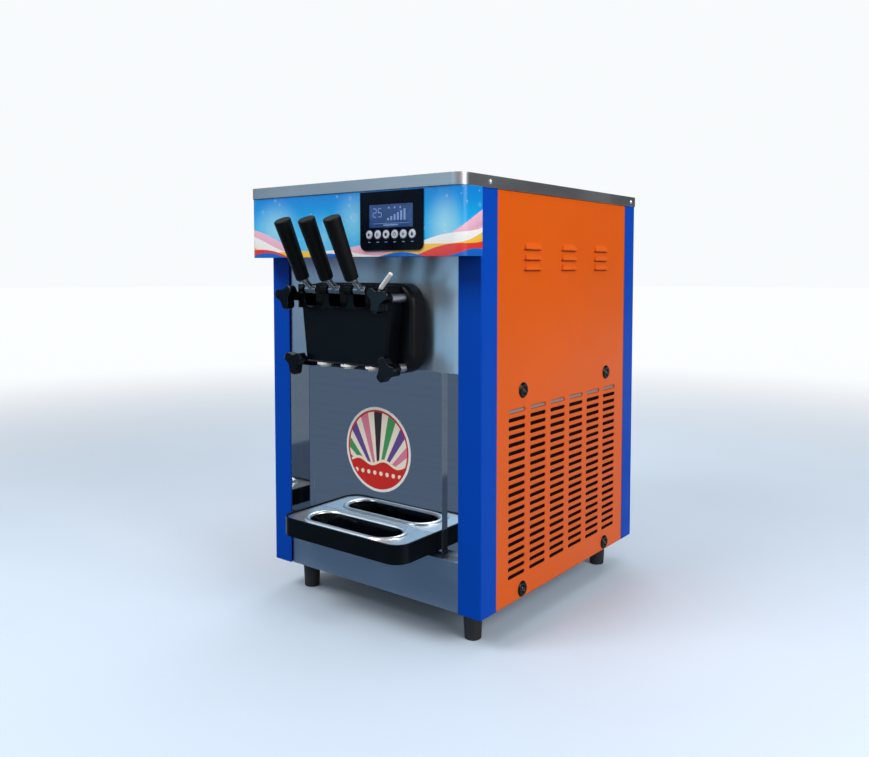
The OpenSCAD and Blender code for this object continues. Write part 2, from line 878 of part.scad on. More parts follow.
module corner_posts() color(blue) place() both_sides() difference() {
    union() {
        translate([half_w, 0, 0]) mirror([1, 0, 0]) linear_extrude(cover_under) angle_2d();
        translate([half_w, body_d, 0]) mirror([1, 0, 0]) mirror([0, 1, 0])
            linear_extrude(cover_under) angle_2d();
    }
    rim_screw_bores();
}

module foot_spots() {
    for (sx = [-1, 1], y = [foot_front_inset, body_d - foot_rear_inset])
        translate([sx * (half_w - foot_side_inset), y, 0]) children();
}

module base_pan() color(galvanised) place() {
    y0 = front_inset + sheet_t + clear;
    y1 = rear_y - clear;
    stud_r = foot_stud_d / 2;
    difference() {
        union() {
            difference() {
                block([-chassis_x, y0, 0], [chassis_x, y1, pan_h]);
                block([-chassis_x + chassis_t, y0 + chassis_t, chassis_t],
                    [chassis_x - chassis_t, y1 - chassis_t, pan_h + cut]);
            }
            foot_spots() cylinder(h = foot_stud_l, r = stud_r + weld_nut_wall);
        }
        foot_spots() translate([0, 0, -cut]) cylinder(h = foot_stud_l + 2 * cut, r = stud_r + fit_gap);
        both_sides() panel_screw_bores([screw_low_z], screw_gap);
    }
}

module feet() color(black) place() foot_spots() {
    tip_r = foot_tip_d / 2;
    top_r = foot_top_d / 2;
    stud_r = foot_stud_d / 2;
    rotate_extrude() polygon([
        [0, -foot_h], [tip_r - foot_chamfer, -foot_h], [tip_r, -foot_h + foot_chamfer],
        [top_r, -foot_chamfer], [top_r - foot_chamfer, 0],
        [stud_r, 0], [stud_r, foot_stud_l], [0, foot_stud_l]
    ]);
}

module panel_screw_bores(zs, gap) {
    for (y = panel_screw_ys, z = zs)
        bar_x(y, z, panel_out_x - screw_l, panel_out_x + cut, screw_d / 2 + gap);
}

// Hood of one louvre, drawn at the middle of its lower edge; inset gives the space under it
module louvre_hood(inset) {
    low = inset > 0 ? -panel_gap : 0;
    depth = louvre_d - inset;
    half = louvre_w / 2 - inset;
    slant = louvre_h / 2;
    intersection() {
        rotate([90, 0, 0]) translate([0, 0, -half]) linear_extrude(2 * half) polygon([
            [-sheet_t - inset, low], [depth, low], [depth, louvre_lip],
            [-inset, louvre_h], [-sheet_t - inset, louvre_h]
        ]);
        sideways(-3 * sheet_t, louvre_d + 4 * sheet_t)
            polygon([[-half, low], [half, low], [half - slant, louvre_h], [-half + slant, louvre_h]]);
    }
}

module louvre_spots() {
    for (c = [0 : louvre_cols - 1], r = [0 : louvre_rows - 1])
        translate([panel_out_x, louvre_first_y + c * louvre_col_pitch,
            body_h - louvre_drop - r * louvre_row_pitch]) children();
}

module side_panel() color(orange) place() difference() {
    fold_x = panel_out_x - panel_fold;
    union() {
        sideways(panel_in_x, sheet_t) difference() {
            translate([panel_y0, 0]) square([panel_y1 - panel_y0, body_h - panel_gap]);
            translate([slot_first_y, slot_first_z])
                slot_grid(slot_cols, slot_rows, slot_col_pitch, slot_row_pitch);
        }
        for (y = [panel_y0, panel_y1 - sheet_t]) {
            block([fold_x, y, pan_h + fold_stop], [panel_out_x - eps, y + sheet_t, shelf_z - fold_stop]);
            block([fold_x, y, shelf_z + shelf_edge_h + fold_stop],
                [panel_out_x - eps, y + sheet_t, body_h - panel_gap]);
        }
        louvre_spots() louvre_hood(0);
    }
    louvre_spots() louvre_hood(sheet_t);
    panel_screw_bores([screw_low_z, screw_high_z], 2 * screw_gap);
}

module panel_screw_spots() {
    both_sides()
        for (y = panel_screw_ys, z = [screw_low_z, screw_high_z])
            translate([panel_out_x, y, z]) rotate([0, 90, 0]) children();
}

// Black cup washers: a dished ring round each screw head
module cup_washers() color(black) place() panel_screw_spots() {
    bore_r = screw_d / 2 + screw_gap;
    seat_r = screw_head_d / 2 + 3 * screw_gap;
    rotate_extrude() polygon([
        [bore_r, 0], [washer_d / 2, 0], [washer_d / 2, washer_edge], [washer_d / 2 - washer_slope, washer_h],
        [seat_r + washer_h - washer_seat, washer_h], [seat_r, washer_seat], [bore_r, washer_seat]
    ]);
}

// Dome-headed screw along +Z, the underside of its head at z = 0
module dome_screw(d, head_d, l) {
    r = head_d / 2;
    h = r * dome_ratio;
    ball_r = (r * r + h * h) / (2 * h);
    translate([0, 0, -l]) cylinder(h = l + eps, d = d);
    intersection() {
        translate([0, 0, h - ball_r]) sphere(ball_r);
        cylinder(h = h + cut, r = head_d);
    }
}

module panel_screws() color(steel) place() {
    panel_screw_spots() translate([0, 0, washer_seat]) dome_screw(screw_d, screw_head_d, screw_l);
    both_sides()
        for (y = rim_screw_ys)
            translate([header_half, y, body_h + rim_h / 2]) rotate([0, 90, 0])
                dome_screw(rim_screw_d, rim_screw_head_d, rim_screw_l);
}

module rear_panel() color(steel) place() {
    half = front_in_x - panel_gap;
    slot_span = (rear_cols - 1) * slot_col_pitch;
    difference() {
        union() {
            facing(rear_y, sheet_t) difference() {
                translate([-half, 0]) square([2 * half, cover_under - panel_gap]);
                translate([-slot_span / 2, rear_first_z])
                    slot_grid(rear_cols, rear_rows, slot_col_pitch, slot_row_pitch);
            }
            both_sides() block([half - sheet_t, rear_y - panel_fold, pan_h + fold_stop],
                [half, rear_y + eps, shelf_z - fold_stop]);
            bar_y(gland_x, gland_z, rear_y - gland_l, rear_y + sheet_t + gland_lip, gland_d / 2);
        }
        bar_y(gland_x, gland_z, rear_y - 2 * gland_l, rear_y + gland_l, gland_bore_d / 2);
    }
}

module mid_shelf() color(galvanised) place() difference() {
    block([-chassis_x, shelf_inset, shelf_z], [chassis_x, body_d - shelf_inset, shelf_z + shelf_edge_h]);
    block([-chassis_x + chassis_t, shelf_inset - cut, shelf_top],
        [chassis_x - chassis_t, body_d - shelf_inset + cut, shelf_z + shelf_edge_h + cut]);
    both_sides() panel_screw_bores([screw_high_z], screw_gap);
}

// Top cover and hoppers

module hopper_spot() translate([hopper_x, hopper_y, 0]) children();

// Plan of a hopper, grown outwards from its inside
module hopper_plan(grow) round_rect(hopper_half_w + grow, hopper_half_l + grow, hopper_r + grow);

module top_cover() color(steel) place() difference() {
    translate([0, 0, body_h]) linear_extrude(rim_h) cover_plan(0);
    translate([0, 0, body_h - cut]) linear_extrude(rim_h - sheet_t + cut) cover_plan(sheet_t);
    both_sides() hopper_spot() translate([0, 0, cover_under - cut]) linear_extrude(sheet_t + 2 * cut)
        hopper_plan(hopper_wall + panel_gap);
    both_sides() rim_screw_bores();
}

module hopper() difference() {
    spout_l = hopper_floor - spout_low;
    union() {
        hopper_spot() translate([0, 0, hopper_floor - hopper_wall])
            linear_extrude(hopper_depth + 2 * hopper_wall) hopper_plan(hopper_wall);
        hopper_spot() translate([0, 0, cover_top]) linear_extrude(hopper_wall) hopper_plan(hopper_flange);
        translate([valve_pitch, feed_y, spout_low]) cylinder(h = spout_l - eps, r = spout_r);
    }
    hopper_spot() translate([0, 0, hopper_floor]) linear_extrude(2 * hopper_depth) hopper_plan(0);
    translate([valve_pitch, feed_y, spout_low - cut]) cylinder(h = spout_l + 2 * cut, r = feed_r);
}

module hoppers() color(steel) place() both_sides() hopper();

// Low arch with rounded shoulders, standing on the drawing line
module arch_2d(half, h) {
    r = h / 2;
    translate([-half, 0]) square([2 * half, r]);
    translate([-half + r, 0]) square([2 * (half - r), h]);
    for (s = [-1, 1])
        translate([s * (half - r), r]) circle(r);
}

module hopper_lid() color(steel) place() hopper_spot() translate([0, 0, cover_top + lid_rest]) {
    difference() {
        linear_extrude(lid_edge_h) round_rect(lid_half_w, lid_half_l, lid_r);
        translate([0, 0, -cut]) linear_extrude(lid_edge_h - lid_t + cut)
            round_rect(lid_half_w - lid_t, lid_half_l - lid_t, lid_r - lid_t);
    }
    facing(-lid_grip_w / 2, lid_grip_w) translate([0, lid_edge_h - eps]) difference() {
        arch_2d(lid_grip_l / 2, lid_grip_h);
        translate([0, -cut]) arch_2d(lid_grip_l / 2 - 2 * lid_grip_t, lid_grip_h - lid_grip_t + cut);
    }
}

// Air tube: meters mix and air into the cylinder below
module air_tube() color(white) place() translate([valve_pitch, feed_y, hopper_floor]) difference() {
    union() {
        translate([0, 0, -tube_sink]) cylinder(h = tube_sink + tube_rise, r = feed_r - fit_gap);
        translate([0, 0, clear]) cylinder(h = tube_collar, r = feed_r + tube_collar);
    }
    translate([0, 0, -tube_sink - cut]) cylinder(h = tube_sink + tube_rise + 2 * cut, d = tube_bore_d);
    bar_x(0, tube_port_rise, -feed_bore_d, feed_bore_d, tube_port_d / 2);
}

// Header and controls

module header_fascia() color(sky) place() difference() {
    t = sheet_t;
    opening_half = control_w / 2 - control_margin;
    union() {
        difference() {
            translate([0, 0, header_z]) linear_extrude(header_h)
                bow_plan(header_half, header_reach, -panel_gap, front_corner_r);
            translate([0, 0, header_z + t]) linear_extrude(header_h)
                bow_plan(header_half - t, header_reach - t, cut, front_corner_r - t);
        }
        block([-front_in_x + panel_gap, -panel_gap - eps, header_z],
            [front_in_x - panel_gap, front_inset, header_z + t]);
    }
    block([control_x - opening_half, -header_reach - cut, control_low + control_margin],
        [control_x + opening_half, -header_reach + t + cut, control_low + control_h - control_margin]);
}

function button_x(i) = control_x + (i - (button_n - 1) / 2) * button_pitch;

// Control panel: square at the top, round at the lower corners
module control_panel() color(black) place() difference() {
    facing(-control_face, control_t) translate([control_x, control_low])
        bow_plan(control_w / 2, 0, control_h, control_r);
    facing(-control_face - cut, control_t + 2 * cut) translate([control_x, display_z])
        square([display_w, display_h], center = true);
    for (i = [0 : button_n - 1])
        bar_y(button_x(i), button_z, -control_face - cut, -header_reach + cut, button_r + button_gap);
}

module display_window() color(screen) place() {
    facing(-control_face + display_recess, display_t) translate([control_x, display_z])
        square([display_w - 2 * clear, display_h - 2 * clear], center = true);
}

// Push button: a dished cap on a stem
module button(i) color(charcoal) place() translate([button_x(i), -control_face - button_proud, button_z])
    rotate([-90, 0, 0]) rotate_extrude() polygon([
        [0, button_dish], [button_r - button_rim, 0], [button_r - button_edge, 0], [button_r, button_edge],
        [button_r, button_depth], [button_stem_r, button_depth],
        [button_stem_r, button_depth + button_stem_l], [0, button_depth + button_stem_l]
    ]);

// Housing of the control board, held by pillars on the upper panel
module control_box() color(charcoal) place() {
    half = control_w / 2 - board_inset;
    block([control_x - half, board_y, control_low + board_inset],
        [control_x + half, board_y + board_depth, control_low + control_h - board_inset]);
    for (s = [-1, 1])
        bar_y(control_x + s * (half - board_pillar_inset), display_z,
            board_y + board_depth - eps, front_inset, board_pillar_r);
}

// Front panels

module stud_spots() {
    for (x = [-stud_x, stud_x], z = [upper_stud_z, lower_stud_z])
        translate([x, 0, z]) children();
}

module upper_front_panel() color(steel) place() difference() {
    back = front_inset + sheet_t;
    union() {
        facing(front_inset, sheet_t) translate([-front_x, recess_top])
            square([2 * front_x, cover_under - panel_gap - recess_top]);
        block([-front_in_x, front_inset, recess_top], [front_in_x, recess_depth, recess_top + sheet_t]);
    }
    both_sides() bar_y(valve_pitch, cyl_z, front_inset - cut, back + cut, cyl_d / 2 + panel_gap);
    stud_spots() bar_y(0, 0, front_inset - cut, back + cut, stud_r + clear);
}

module recess_panel() color(steel) place() {
    facing(recess_depth, sheet_t) translate([-front_in_x, lower_panel_h])
        square([2 * front_in_x, recess_top - lower_panel_h]);
    both_sides() block([front_in_x - sheet_t, post_t + panel_gap, lower_panel_h],
        [front_in_x, recess_depth + eps, recess_top]);
}

module lower_front_panel() color(steel) place() {
    facing(front_inset, sheet_t) translate([-front_x, 0]) square([2 * front_x, lower_panel_h]);
    block([-front_in_x, front_inset, lower_panel_h - sheet_t], [front_in_x, recess_depth, lower_panel_h]);
}

module splash_panel() color(mirror_steel) place() difference() {
    low = lower_panel_h + panel_gap;
    high = recess_top - panel_gap;
    block([-splash_half_w, splash_inset, low], [splash_half_w, recess_depth, high]);
    block([-splash_half_w + sheet_t, splash_inset + sheet_t, low + sheet_t],
        [splash_half_w - sheet_t, recess_depth + cut, high - sheet_t]);
}

// Drip tray

module tray_plan(inset, back)
    bow_plan(tray_half_w - inset, tray_reach - inset, tray_back - back, tray_r - inset);

module tray_rails() color(galvanised) place() both_sides() {
    block([rail_x - rail_plate_half_w, splash_inset - rail_plate_t, rail_low],
        [rail_x + rail_plate_half_w, splash_inset, rail_top]);
    block([rail_x - rail_w / 2, splash_inset - rail_l, rail_low],
        [rail_x + rail_w / 2, splash_inset - rail_plate_t + eps, rail_top]);
}

// Tray body: a band with a floor, guides for the rails and a bar under the open well
module drip_tray() color(black) place() {
    guide_x = rail_w / 2 + panel_gap;
    hollow_top = tray_floor - tray_floor_t;
    notch_half = rail_plate_half_w + panel_gap;
    difference() {
        translate([0, 0, tray_z]) linear_extrude(tray_h) tray_plan(0, 0);
        translate([0, 0, tray_floor]) linear_extrude(tray_h) tray_plan(tray_wall, -2 * cut);
        translate([0, 0, tray_z - cut]) linear_extrude(hollow_top - tray_z + cut)
            tray_plan(tray_wall, tray_wall);
        both_sides() block([rail_x - notch_half, tray_back - tray_wall - cut, tray_z - cut],
            [rail_x + notch_half, tray_back + cut, hollow_top]);
        translate([0, tray_mid_y, tray_z]) linear_extrude(tray_h) oval(well_straight, well_r + 2 * dish_gap);
    }
    both_sides()
        for (x = [rail_x - guide_x - tray_floor_t, rail_x + guide_x])
            block([x, -tray_reach + tray_wall - eps, tray_z + cradle_t],
                [x + tray_floor_t, tray_back - 2 * tray_wall, hollow_top + eps]);
    block([-cradle_half_w, -tray_reach + tray_wall - eps, tray_z],
        [cradle_half_w, tray_back - tray_wall + eps, tray_z + cradle_t]);
}

// Section swept round the oval well, its zero at radius r
module well_ring(r) {
    for (s = [-1, 1]) {
        translate([s * well_straight, 0, 0]) rotate([0, 0, s * 90 - 180]) rotate_extrude(angle = 180)
            translate([r, 0]) children();
        translate([-well_straight, 0, 0]) rotate([90, 0, 90]) linear_extrude(2 * well_straight)
            mirror([s < 0 ? 1 : 0, 0]) translate([r, 0]) children();
    }
}

// Section of the bead: the sheet with a low round back
module bead_2d() {
    ball_r = (bead_w * bead_w / 4 + bead_h * bead_h) / (2 * bead_h);
    translate([0, -deck_t]) square([bead_w, deck_t]);
    intersection() {
        translate([bead_w / 2, bead_h - ball_r]) circle(ball_r);
        translate([0, -eps]) square([bead_w, bead_h + cut]);
    }
}

// Stainless deck dropped into the tray, with a rolled bead round the well
module tray_deck() color(steel) place() {
    side = tray_wall + dish_gap;
    difference() {
        translate([0, 0, tray_floor]) linear_extrude(deck_edge) tray_plan(side, 0);
        translate([0, 0, tray_floor - deck_t]) linear_extrude(deck_edge) tray_plan(side + deck_t, deck_t);
        translate([0, tray_mid_y, tray_floor]) linear_extrude(deck_edge + cut)
            oval(well_straight, well_r + bead_w / 2);
    }
    translate([0, tray_mid_y, deck_z]) well_ring(well_r) bead_2d();
}

// Dish with drawn-in sides
module drip_dish() color(black) place() translate([0, tray_mid_y, dish_low]) {
    r = well_r - dish_gap;
    low_r = r - dish_draft;
    linear_extrude(dish_wall) oval(well_straight, low_r);
    well_ring(0) polygon([
        [low_r - dish_wall, 0], [low_r, 0], [r, deck_z - dish_low], [r - dish_wall, deck_z - dish_low]
    ]);
}

// Dispensing head

// Quarter-round section that gives the collar its soft front edge
module collar_corner() rotate([90, 0, 0]) rotate_extrude($fn = 32) {
    square([collar_r, collar_depth - collar_round]);
    square([collar_r - collar_round, collar_depth]);
    intersection() {
        translate([collar_r - collar_round, collar_depth - collar_round]) circle(collar_round, $fn = 32);
        square([collar_r, collar_depth]);
    }
}

// Moulded insulating collar round the cylinder mouths
module head_collar() color(black) place() difference() {
    corner_x = collar_half_w - collar_r;
    corner_z = collar_h / 2 - collar_r;
    hull()
        for (sx = [-1, 1], sz = [-1, 1])
            translate([sx * corner_x, front_inset, collar_mid + sz * corner_z]) collar_corner();
    both_sides() bar_y(valve_pitch, cyl_z, -collar_face - cut, front_inset + cut, cyl_d / 2 + clear);
    stud_spots() bar_y(0, 0, -collar_face - cut, front_inset + cut, stud_r + clear);
}

module head_plate_2d(inset) polygon([
    [-head_half_top + inset, head_top - inset], [head_half_top - inset, head_top - inset],
    [head_half_top - inset, band_low], [head_half_low - inset, head_low + inset],
    [-head_half_low + inset, head_low + inset], [-head_half_top + inset, band_low]
]);

// Clamp lugs round the studs at one height and front face
module clamp_lugs(z, face) both_sides() {
    block([head_half_low - lug_root, -face, z - lug_r], [stud_x, lug_t - face, z + lug_r]);
    bar_y(stud_x, z, -face, lug_t - face, lug_r);
}

// Valve boss: a barrel with a rounded foot
module valve_boss() rotate_extrude() {
    square([boss_r - boss_round, band_h + cut]);
    translate([0, boss_round]) square([boss_r, band_h + cut - boss_round]);
    intersection() {
        translate([boss_r - boss_round, boss_round]) circle(boss_round);
        square(boss_r);
    }
}

// Bore for a plunger and its nozzle, and the slot that its lever swings in
module valve_cuts(x) {
    translate([x, -valve_reach, head_low - cut]) cylinder(h = head_h + 3 * cut, d = plunger_d);
    block([x - lever_slot / 2, -head_face - boss_r - cut, band_low + lever_slot_rise],
        [x + lever_slot / 2, -valve_reach, head_top + 2 * cut]);
}

// Ring round both spigots at the seals' place
module seal_ring(inner_r, outer_r, width)
    for (x = [-valve_pitch, valve_pitch])
        translate([x, -head_back + spigot_l / 2, cyl_z]) rotate([-90, 0, 0]) rotate_extrude()
            translate([inner_r, -width / 2]) square([outer_r - inner_r, width]);

// Mix passages from each cylinder to its own valve and to the middle one
module mix_passages() both_sides() {
    exit = [valve_pitch, -head_back + spigot_l + cut, cyl_z - passage_drop];
    rod_between([valve_pitch, -valve_reach, passage_z], exit, passage_d);
    rod_between([0, -valve_reach, passage_z], exit - [side_passage_x, 0, 0], side_passage_d);
}

module dispensing_head() color(black) place() difference() {
    union() {
        hull() {
            facing(-head_face + head_chamfer, head_face - head_chamfer - head_back) head_plate_2d(0);
            facing(-head_face, head_chamfer) head_plate_2d(head_chamfer);
        }
        translate([0, 0, band_low]) linear_extrude(band_h)
            bow_plan(head_half_top, band_face, -head_back, band_r);
        clamp_lugs(upper_stud_z, upper_pad_face);
        clamp_lugs(lower_stud_z, lower_pad_face);
        for (x = valve_xs)
            translate([x, -head_face, band_low]) valve_boss();
        both_sides() bar_y(valve_pitch, cyl_z, -head_back - eps, -head_back + spigot_l, spigot_r);
    }
    for (x = valve_xs)
        valve_cuts(x);
    bar_x(-pivot_reach, pivot_z, -half_w, half_w, pin_r + fit_gap);
    stud_spots() bar_y(0, 0, -upper_pad_face - cut, 0, stud_r + clear);
    both_sides() bar_y(valve_pitch, cyl_z, -head_back - front_pin_l - clear,
        -head_back + spigot_l + cut, front_pin_r + fit_gap);
    seal_ring(spigot_r - seal_depth, spigot_r + cut, seal_w + screw_gap);
    mix_passages();
}

module head_seals() color(white) place() seal_ring(spigot_r - seal_depth + screw_gap, spigot_r, seal_w);

// Threaded studs, each on a weld plate behind the front panel
module head_studs() color(steel) place() {
    back = front_inset + sheet_t;
    knob_l = knob_hub_l + knob_t - stud_stop;
    plate_drop = stud_r + panel_gap;
    for (spot = [[upper_stud_z, upper_pad_face], [lower_stud_z, lower_pad_face]], x = [-stud_x, stud_x]) {
        bar_y(x, spot[0], -spot[1] - knob_l, back + stud_plate_t, stud_r);
        block([x - stud_plate_half, back, spot[0] - plate_drop],
            [x + stud_plate_half, back + stud_plate_t, spot[0] + stud_plate_half]);
    }
}

module knob_2d() {
    hub_r = knob_core_d / 2;
    tip = knob_r - lobe_r;
    circle(hub_r + cut);
    for (i = [0 : 2])
        rotate(120 * i) {
            translate([0, tip]) circle(lobe_r);
            polygon([[-hub_r, 0], [hub_r, 0], [lobe_r, tip], [-lobe_r, tip]]);
        }
}

// Rounded blank that gives the lobes their soft edges
module knob_blank() rotate_extrude() {
    square([knob_r - knob_round, knob_t]);
    translate([0, knob_round]) square([knob_r, knob_t - 2 * knob_round]);
    for (z = [knob_round, knob_t - knob_round])
        translate([knob_r - knob_round, z]) circle(knob_round);
}

// Three-lobed clamp knob on its stud, the hub against the pad at face
module knob(s, z, face, i) color(black) place() translate([s * stud_x, -face - clear, z]) rotate([90, 0, 0])
    difference() {
        union() {
            cylinder(h = knob_hub_l + cut, d = knob_hub_d);
            translate([0, 0, knob_hub_l]) intersection() {
                linear_extrude(knob_t) rotate(knob_turn[i]) knob_2d();
                knob_blank();
            }
        }
        translate([0, 0, -cut]) cylinder(h = knob_hub_l + knob_t - stud_stop / 2, r = stud_r + fit_gap);
    }

// Cross pin of the levers, with a bent end to pull it by
module handle_pin() color(steel) place() translate([0, -pivot_reach, pivot_z]) {
    bar_x(0, 0, -pin_left, pin_right, pin_r);
    translate([pin_right, 0, 0]) {
        sphere(pin_r + fit_gap);
        rotate([0, pin_bend_lean, 0]) cylinder(h = pin_bend_l, r = pin_r);
    }
}

// Lever: hub on the pin, rear arm into the plunger, cranked neck up into the grip
module lever(x) color(steel) place() translate([x, -pivot_reach, pivot_z]) difference() {
    union() {
        bar_x(0, 0, -lever_w / 2, lever_w / 2, lever_hub_r);
        rotate([arm_rest, 0, 0]) {
            block([-arm_half_w, 0, -arm_t / 2], [arm_half_w, arm_l, arm_t / 2]);
            bar_x(arm_l, 0, -arm_half_w, arm_half_w, arm_tip_r);
        }
        rod_between([0, 0, 0], [0, -neck_reach, neck_rise], neck_d);
        translate([0, -neck_reach, neck_rise]) rotate([grip_lean, 0, 0]) {
            sphere(d = neck_d + clear);
            cylinder(h = grip_l * rod_share, d = neck_d);
            translate([0, 0, -grip_washer_t - clear])
                cylinder(h = grip_washer_t, r = grip_foot_r - grip_round);
        }
    }
    bar_x(0, 0, -lever_w, lever_w, pin_r + fit_gap);
}

// Grip: a tapered handle with a rounded top, on the lever's rod
module grip(x) color(black) place() translate([x, -pivot_reach - neck_reach, pivot_z + neck_rise])
    rotate([grip_lean, 0, 0]) difference() {
        rotate_extrude() {
            polygon([
                [0, 0], [grip_foot_r - grip_chamfer, 0], [grip_foot_r, grip_chamfer],
                [grip_top_r, grip_l - grip_round], [grip_top_r - grip_round, grip_l], [0, grip_l]
            ]);
            translate([grip_top_r - grip_round, grip_l - grip_round]) circle(grip_round);
        }
        translate([0, 0, -cut]) cylinder(h = grip_l * rod_share + 2 * cut, d = neck_d + 2 * fit_gap);
        sphere(d = neck_d + 3 * clear);
    }

// Plunger: a valve rod with seal grooves and a notch for the lever's arm
module plunger(x) color(black) place() translate([x, -valve_reach, 0]) difference() {
    half = arm_tip_r + notch_gap;
    mouth = half + notch_flare;
    translate([0, 0, valve_z_low]) cylinder(h = plunger_top - valve_z_low, r = plunger_r);
    for (rise = plunger_grooves)
        translate([0, 0, valve_z_low + rise]) rotate_extrude() translate([plunger_r - plunger_groove_d, 0])
            square([plunger_groove_d + cut, plunger_groove_w]);
    translate([0, 0, notch_z]) sideways(-arm_half_w - arm_gap, arm_w + 2 * arm_gap) polygon([
        [notch_back, -half], [notch_back, half], [-notch_straight, half], [-plunger_d, mouth],
        [-plunger_d, -mouth], [-notch_straight, -half]
    ]);
}

module star_2d() polygon([
    for (i = [0 : 2 * star_n - 1])
        (i % 2 == 0 ? star_r : star_in_r) * [cos(180 * i / star_n), sin(180 * i / star_n)]
]);

// Star nozzle pushed up into each valve bore
module nozzles() color(white) place()
    for (x = valve_xs)
        translate([x, -valve_reach, head_low - nozzle_h]) difference() {
            union() {
                cylinder(h = nozzle_h, r = star_r + nozzle_wall);
                translate([0, 0, nozzle_h - nozzle_flange_h]) cylinder(h = nozzle_flange_h, d = nozzle_d);
                cylinder(h = nozzle_h + nozzle_spigot, r = plunger_d / 2 - 2 * fit_gap);
            }
            translate([0, 0, -cut]) linear_extrude(star_t + 2 * cut) star_2d();
            translate([0, 0, star_t]) cylinder(h = nozzle_h + nozzle_spigot, r = star_r + clear);
        }

// Freezing cylinders and drives

// Cylinder with a jacket, an inlet on top and a bearing boss behind
module freezing_cylinder() {
    inside_end = cyl_l - cyl_end_t;
    difference() {
        union() {
            bar_y(valve_pitch, cyl_z, -collar_face, cyl_l, cyl_d / 2);
            bar_y(valve_pitch, cyl_z, front_inset + sheet_t + panel_gap, cyl_l - jacket_stop, jacket_d / 2);
            bar_y(valve_pitch, cyl_z, cyl_l - eps, gear_y, shaft_r + cyl_boss_wall);
            translate([valve_pitch, feed_y, cyl_z])
                cylinder(h = inlet_top - cyl_z, r = spout_r + inlet_wall);
        }
        bar_y(valve_pitch, cyl_z, -collar_face - cut, inside_end, cyl_bore_r);
        bar_y(valve_pitch, cyl_z, inside_end - cut, gear_y + cut, shaft_r + fit_gap);
        translate([valve_pitch, feed_y, cyl_z]) cylinder(h = cyl_bore_d, r = feed_r);
        translate([valve_pitch, feed_y, spout_low - clear]) cylinder(h = cyl_bore_d, r = spout_r + clear);
    }
}

module freezing_cylinders() color(galvanised) place() both_sides() freezing_cylinder();

// Beater: drive shaft, spokes and two helical scraper blades
module beater(x) color(white) place() translate([x, 0, cyl_z]) {
    blade_r = cyl_bore_r - blade_gap - blade_w / 2;
    y0 = -head_back + spigot_l + 2 * cut;
    l = cyl_l - cyl_end_t - beater_end_gap - y0;
    bar_y(0, 0, -head_back - front_pin_l, y0 + cut, front_pin_r);
    bar_y(0, 0, y0, gear_y + gear_entry, shaft_r);
    translate([0, y0, 0]) rotate([-90, 0, 0]) {
        linear_extrude(l, twist = blade_twist, slices = 36, $fn = 4)
            for (s = [-1, 1])
                translate([s * (blade_r - clear), 0]) square([blade_w, blade_t], center = true);
        for (z = [clear, (l - spoke_t) / 2, l - spoke_t - clear])
            rotate([0, 0, -blade_twist * (z + spoke_t / 2) / l]) translate([-blade_r, -spoke_t / 2, z])
                cube([2 * blade_r, spoke_t, spoke_t]);
    }
}

// Gear motor: reducer on a foot, motor behind it
module gear_motor() difference() {
    x0 = valve_pitch - gear_half_w;
    x1 = valve_pitch + gear_half_w;
    y1 = gear_y + gear_l;
    union() {
        block([x0, gear_y, cyl_z - gear_half_h], [x1, y1, cyl_z + gear_half_h]);
        block([x0 + foot_inset, gear_y + foot_inset, shelf_top],
            [x1 - foot_inset, y1 - foot_inset, cyl_z - gear_half_h + eps]);
        bar_y(valve_pitch, cyl_z, y1 - eps, y1 + motor_l, motor_d / 2);
    }
    bar_y(valve_pitch, cyl_z, gear_y - cut, gear_y + gear_socket, shaft_r + fit_gap);
}

module gear_motors() color(charcoal) place() both_sides() gear_motor();

// Cooling

module compressor() color(black) place() translate([comp_x, comp_y, chassis_t]) {
    r = comp_d / 2;
    core_r = r - comp_round;
    rotate_extrude() {
        translate([0, comp_rise]) square([core_r, comp_h - comp_rise]);
        translate([0, comp_rise + comp_round]) square([r, comp_h - comp_rise - 2 * comp_round]);
        translate([core_r, comp_rise + comp_round]) circle(comp_round);
        translate([core_r, comp_h - comp_round]) circle(comp_round);
    }
    block([-r, -core_r, 0], [r, core_r, comp_rise + comp_round / 2]);
}

// Finned condenser with its fan shroud
module condenser() color(copper) place() {
    pitch = (cond_l - 2 * cond_margin) / cond_gaps;
    difference() {
        block([cond_x0, cond_y0, chassis_t], [cond_x1, cond_y0 + cond_l, cond_top]);
        for (i = [0 : cond_gaps - 1])
            translate([0, cond_y0 + cond_margin + i * pitch, 0])
                block([cond_x0 - cut, 0, chassis_t + cond_margin],
                    [cond_x1 + cut, pitch * cond_open, cond_top - cond_margin]);
    }
    difference() {
        block([shroud_x, cond_y0, chassis_t], [cond_x0 + eps, cond_y0 + cond_l, cond_top]);
        bar_x(cond_y, cond_mid_z, shroud_x - cut, cond_x0 + cut, fan_d / 2 + shroud_gap);
    }
}

module fan() color(charcoal) place() translate([fan_x, cond_y, cond_mid_z]) rotate([0, 90, 0]) difference() {
    union() {
        cylinder(h = fan_w, r = fan_hub_r);
        for (i = [0 : fan_n - 1])
            rotate([0, 0, i * 360 / fan_n]) intersection() {
                translate([0, 0, fan_w / 2]) rotate([fan_angle, 0, 0])
                    block([fan_hub_r / 2, -fan_blade_half, -fan_blade_t / 2],
                        [fan_d, fan_blade_half, fan_blade_t / 2]);
                cylinder(h = fan_w, d = fan_d);
            }
    }
    translate([0, 0, -cut]) cylinder(h = fan_w - fan_cap_t + cut, r = fan_shaft_r + fit_gap);
}

module fan_motor() color(charcoal) place() {
    x1 = fan_x - fan_motor_gap;
    x0 = x1 - fan_motor_l;
    bar_x(cond_y, cond_mid_z, x0, x1, fan_motor_r);
    bar_x(cond_y, cond_mid_z, x1 - eps, fan_x + fan_w - fan_shaft_stop, fan_shaft_r);
    block([x0 + fan_post_inset, cond_y - fan_post_half, chassis_t],
        [x1 - fan_post_inset, cond_y + fan_post_half, cond_mid_z - fan_motor_r / 2]);
}

